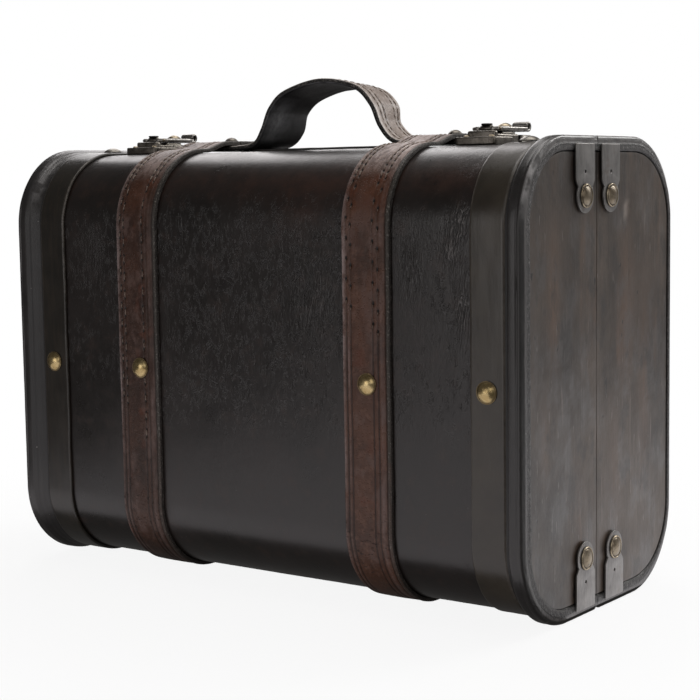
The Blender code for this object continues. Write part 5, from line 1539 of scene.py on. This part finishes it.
# ------------------------------------------------------------------ cloth lining
def linings():
    for half, side in SIDES.items():
        s = samples(side, 0.0050, ends=(0.0, 0.0015))
        y, z, ny, nz = path(side, s)
        edge = SEAM_Y + side * SEAM_GAP
        m = np.array((edge, 0.150))
        inset, end_x, fillet = 0.0104, 0.1989, 0.0035
        rows = []
        for t in np.concatenate((np.linspace(0.0, 0.90, 22), [0.94])):
            rows.append((-end_x, t, 0.0))
        for a in np.linspace(0, math.pi / 2, 5):
            rows.append((-end_x + fillet * (1 - math.cos(a)), None, fillet * (1 - math.sin(a))))
        for x in np.linspace(-end_x + fillet, end_x - fillet, 84)[1:-1]:
            rows.append((x, None, 0.0))
        for a in np.linspace(math.pi / 2, 0, 5):
            rows.append((end_x - fillet * (1 - math.cos(a)), None, fillet * (1 - math.sin(a))))
        for t in np.concatenate(([0.94], np.linspace(0.90, 0.0, 22))):
            rows.append((end_x, t, 0.0))
        co, ua = [], []
        outline0 = np.stack((y - ny * (inset + fillet), z - nz * (inset + fillet)), 1)
        run = 0.0
        last = None
        for x, t, e in rows:
            if t is None:
                p = np.stack((y - ny * (inset + e), z - nz * (inset + e)), 1)
            else:
                p = m + (outline0 - m) * t
            c = np.stack((np.full(len(s), x), p[:, 0], p[:, 1]), 1)
            wave = 0.00022 * np.abs(fbm(x / 0.050 + (t or 0) * 3, s / 0.045, 44 + side, 3))
            if t is None:
                c[:, 1] -= ny * wave
                c[:, 2] -= nz * wave
            else:
                c[:, 0] -= np.sign(x) * wave
            if last is not None:
                run += float(np.linalg.norm(c - last, axis=1).mean())
            last = c
            ua.append(np.full(len(s), run))
            co.append(c)
        rings = np.array(co)
        points, faces = loft(rings, cap=None, closed=False)
        ob = piece("lining_" + half, points, faces, HALF_BODY[half], M["lining"], ("lining_" + half,), None,
                   {"u": np.array(ua), "v": np.repeat(s[None], len(rows), 0)}, recalc=False)
        bm = bmesh.new()
        bm.from_mesh(ob.data)
        bmesh.ops.remove_doubles(bm, verts=bm.verts, dist=1e-6)
        bmesh.ops.recalc_face_normals(bm, faces=bm.faces)
        # faces look into the tray
        c = sum((f.normal.dot(Vector((0, m[0] + side * 0.04, 0.15)) - f.calc_center_median()) * f.calc_area() for f in bm.faces))
        if c < 0:
            bmesh.ops.reverse_faces(bm, faces=bm.faces)
        for f in bm.faces:
            f.smooth = True
        bm.to_mesh(ob.data)
        bm.free()
        cloth = ob.modifiers.new("cloth", "SOLIDIFY")
        cloth.thickness, cloth.offset, cloth.use_even_offset = 0.0008, 1.0, False
        # woven tape over the lining's cut edge, all round the mouth
        loop = []
        x1, z0, z1, r = 0.1975, 0.0122, 0.2878, 0.006
        for cx, cz, a0 in ((x1 - r, z1 - r, 0.0), (-x1 + r, z1 - r, math.pi / 2), (-x1 + r, z0 + r, math.pi), (x1 - r, z0 + r, 1.5 * math.pi)):
            loop += [(cx + r * math.cos(a0 + k * math.pi / 16), cz + r * math.sin(a0 + k * math.pi / 16), math.cos(a0 + k * math.pi / 16), math.sin(a0 + k * math.pi / 16)) for k in range(9)]
        full = []
        for i, p in enumerate(loop):
            q = loop[(i + 1) % len(loop)]
            p, q = np.array(p), np.array(q)
            cnt = max(1, int(np.linalg.norm((q - p)[:2]) / 0.004))
            full += [p + (q - p) * j / cnt for j in range(cnt)]
        full = np.array(full)
        dist = np.concatenate(([0], np.cumsum(np.linalg.norm(np.diff(full[:, :2], axis=0), axis=1))))
        sec = [(0.0002, 0.0), (0.0002, 0.0078), (-0.0001, 0.0084), (-0.0007, 0.0084), (-0.0009, 0.0078), (-0.0012, 0.0045), (-0.0010, 0.0012), (-0.0008, 0.0002), (-0.0004, 0.0)]
        rings = []
        for i, (px, pz, qx, qz) in enumerate(full):
            wig = 0.00015 * float(fbm(dist[i] / 0.02, 0.5, 77 + side, 2))
            rings.append([(px + qx * (o + (wig if o < 0 else 0)), edge + side * (0.0003 + d), pz + qz * (o + (wig if o < 0 else 0))) for o, d in sec])
        rings = np.array(rings)
        rings = np.concatenate((rings, rings[:1]))
        points, faces = loft(rings, cap=None)
        n = len(sec)
        k = len(full)
        faces = [[v if v < k * n else v - k * n for v in f] for f in faces]
        piece("lining_tape_" + half, points[:k * n], faces, HALF_BODY[half], M["tape"], (), 60,
              {"s": np.repeat(dist[:, None], n, 1), "u": np.repeat(np.array([d for _, d in sec])[None], k, 0)})


# ------------------------------------------------------------------ studio
def studio():
    world = bpy.data.worlds.new("studio")
    scene.world = world
    world.use_nodes = True
    tree = world.node_tree
    tree.nodes.clear()
    out = tree.nodes.new("ShaderNodeOutputWorld")
    mix = tree.nodes.new("ShaderNodeMixShader")
    seen = tree.nodes.new("ShaderNodeBackground")
    light = tree.nodes.new("ShaderNodeBackground")
    ray = tree.nodes.new("ShaderNodeLightPath")
    seen.inputs["Color"].default_value = (1.0, 1.0, 1.0, 1)
    light.inputs["Color"].default_value = (1.0, 0.965, 0.94, 1)
    light.inputs["Strength"].default_value = 0.10
    tree.links.new(ray.outputs["Is Camera Ray"], mix.inputs[0])
    tree.links.new(light.outputs[0], mix.inputs[1])
    tree.links.new(seen.outputs[0], mix.inputs[2])
    tree.links.new(mix.outputs[0], out.inputs[0])
    scene.view_settings.view_transform = "Standard"

    bpy.ops.mesh.primitive_circle_add(vertices=96, radius=4.0, fill_type="NGON", location=(0, 0, -0.0002))
    floor = bpy.context.object
    floor.name = "studio_floor"
    g = bpy.data.materials.new("studio_floor")
    g.use_nodes = True
    t = g.node_tree
    t.nodes.clear()
    o = t.nodes.new("ShaderNodeOutputMaterial")
    m = t.nodes.new("ShaderNodeMixShader")
    clear = t.nodes.new("ShaderNodeBsdfTransparent")
    white = t.nodes.new("ShaderNodeBsdfDiffuse")
    white.inputs["Color"].default_value = (0.88, 0.89, 0.90, 1)
    # the floor fades into the white surround with the distance from the case
    where = t.nodes.new("ShaderNodeTexCoord")
    far = t.nodes.new("ShaderNodeVectorMath")
    far.operation = "LENGTH"
    fade = t.nodes.new("ShaderNodeMapRange")
    fade.interpolation_type = "SMOOTHSTEP"
    for k, v in (("From Min", 0.18), ("From Max", 0.55), ("To Min", 0.10), ("To Max", 0.0)):
        fade.inputs[k].default_value = v
    t.links.new(where.outputs["Object"], far.inputs[0])
    t.links.new(far.outputs["Value"], fade.inputs["Value"])
    t.links.new(fade.outputs[0], m.inputs[0])
    t.links.new(clear.outputs[0], m.inputs[1])
    t.links.new(white.outputs[0], m.inputs[2])
    t.links.new(m.outputs[0], o.inputs[0])
    floor.data.materials.append(g)
    floor.visible_glossy = False

    area("key_above", (-0.88, 0.83, 1.12), (0.0, 0.0, 0.25), 0.70, 4.4, (1.0, 0.965, 0.965))
    area("over", (0.10, 0.25, 1.65), (0.03, 0.0, 0.20), 1.1, 12, (1.0, 0.975, 0.95))
    area("back_high", (0.62, 1.25, 1.02), (0.06, 0.0, 0.33), 0.55, 11.0, (1.0, 0.985, 0.97))
    area("card_back", (-1.46, 2.0, 0.60), (0.0, 0.0, 0.30), 1.4, 9.0, (1.0, 0.98, 0.97), 0.90)
    area("card_front", (-0.42, -2.05, 0.38), (0.08, -0.1, 0.15), 1.02, 4.9, (1.0, 0.965, 0.955), 0.85)
    area("bounce_front", (-0.10, -0.62, 0.003), (-0.10, -0.62, 1.0), 0.66, 1.65, (1.0, 0.955, 0.985), 1.00)
    area("fill_front", (1.05, -1.9, 0.95), (0.0, -0.05, 0.15), 1.0, 4.0, (1.0, 0.98, 0.96))
    area("side_right", (1.9, -0.35, 0.75), (0.20, 0.0, 0.15), 1.2, 7, (1.0, 0.98, 0.96))
    area("card_right", (1.05, 1.60, 0.42), (0.21, 0.0, 0.15), 1.6, 1.04, (1.0, 0.98, 0.98), 0.80)
    area("bounce_right", (0.52, 0.48, 0.003), (0.52, 0.48, 1.0), 0.74, 2.6, (1.0, 0.98, 1.0), 1.05)


def main():
    camera()
    materials()
    skins()
    seam_edging()
    trims()
    straps()
    nails()
    end_straps()
    end_boards()
    handle()
    fittings()
    linings()
    studio()


main()
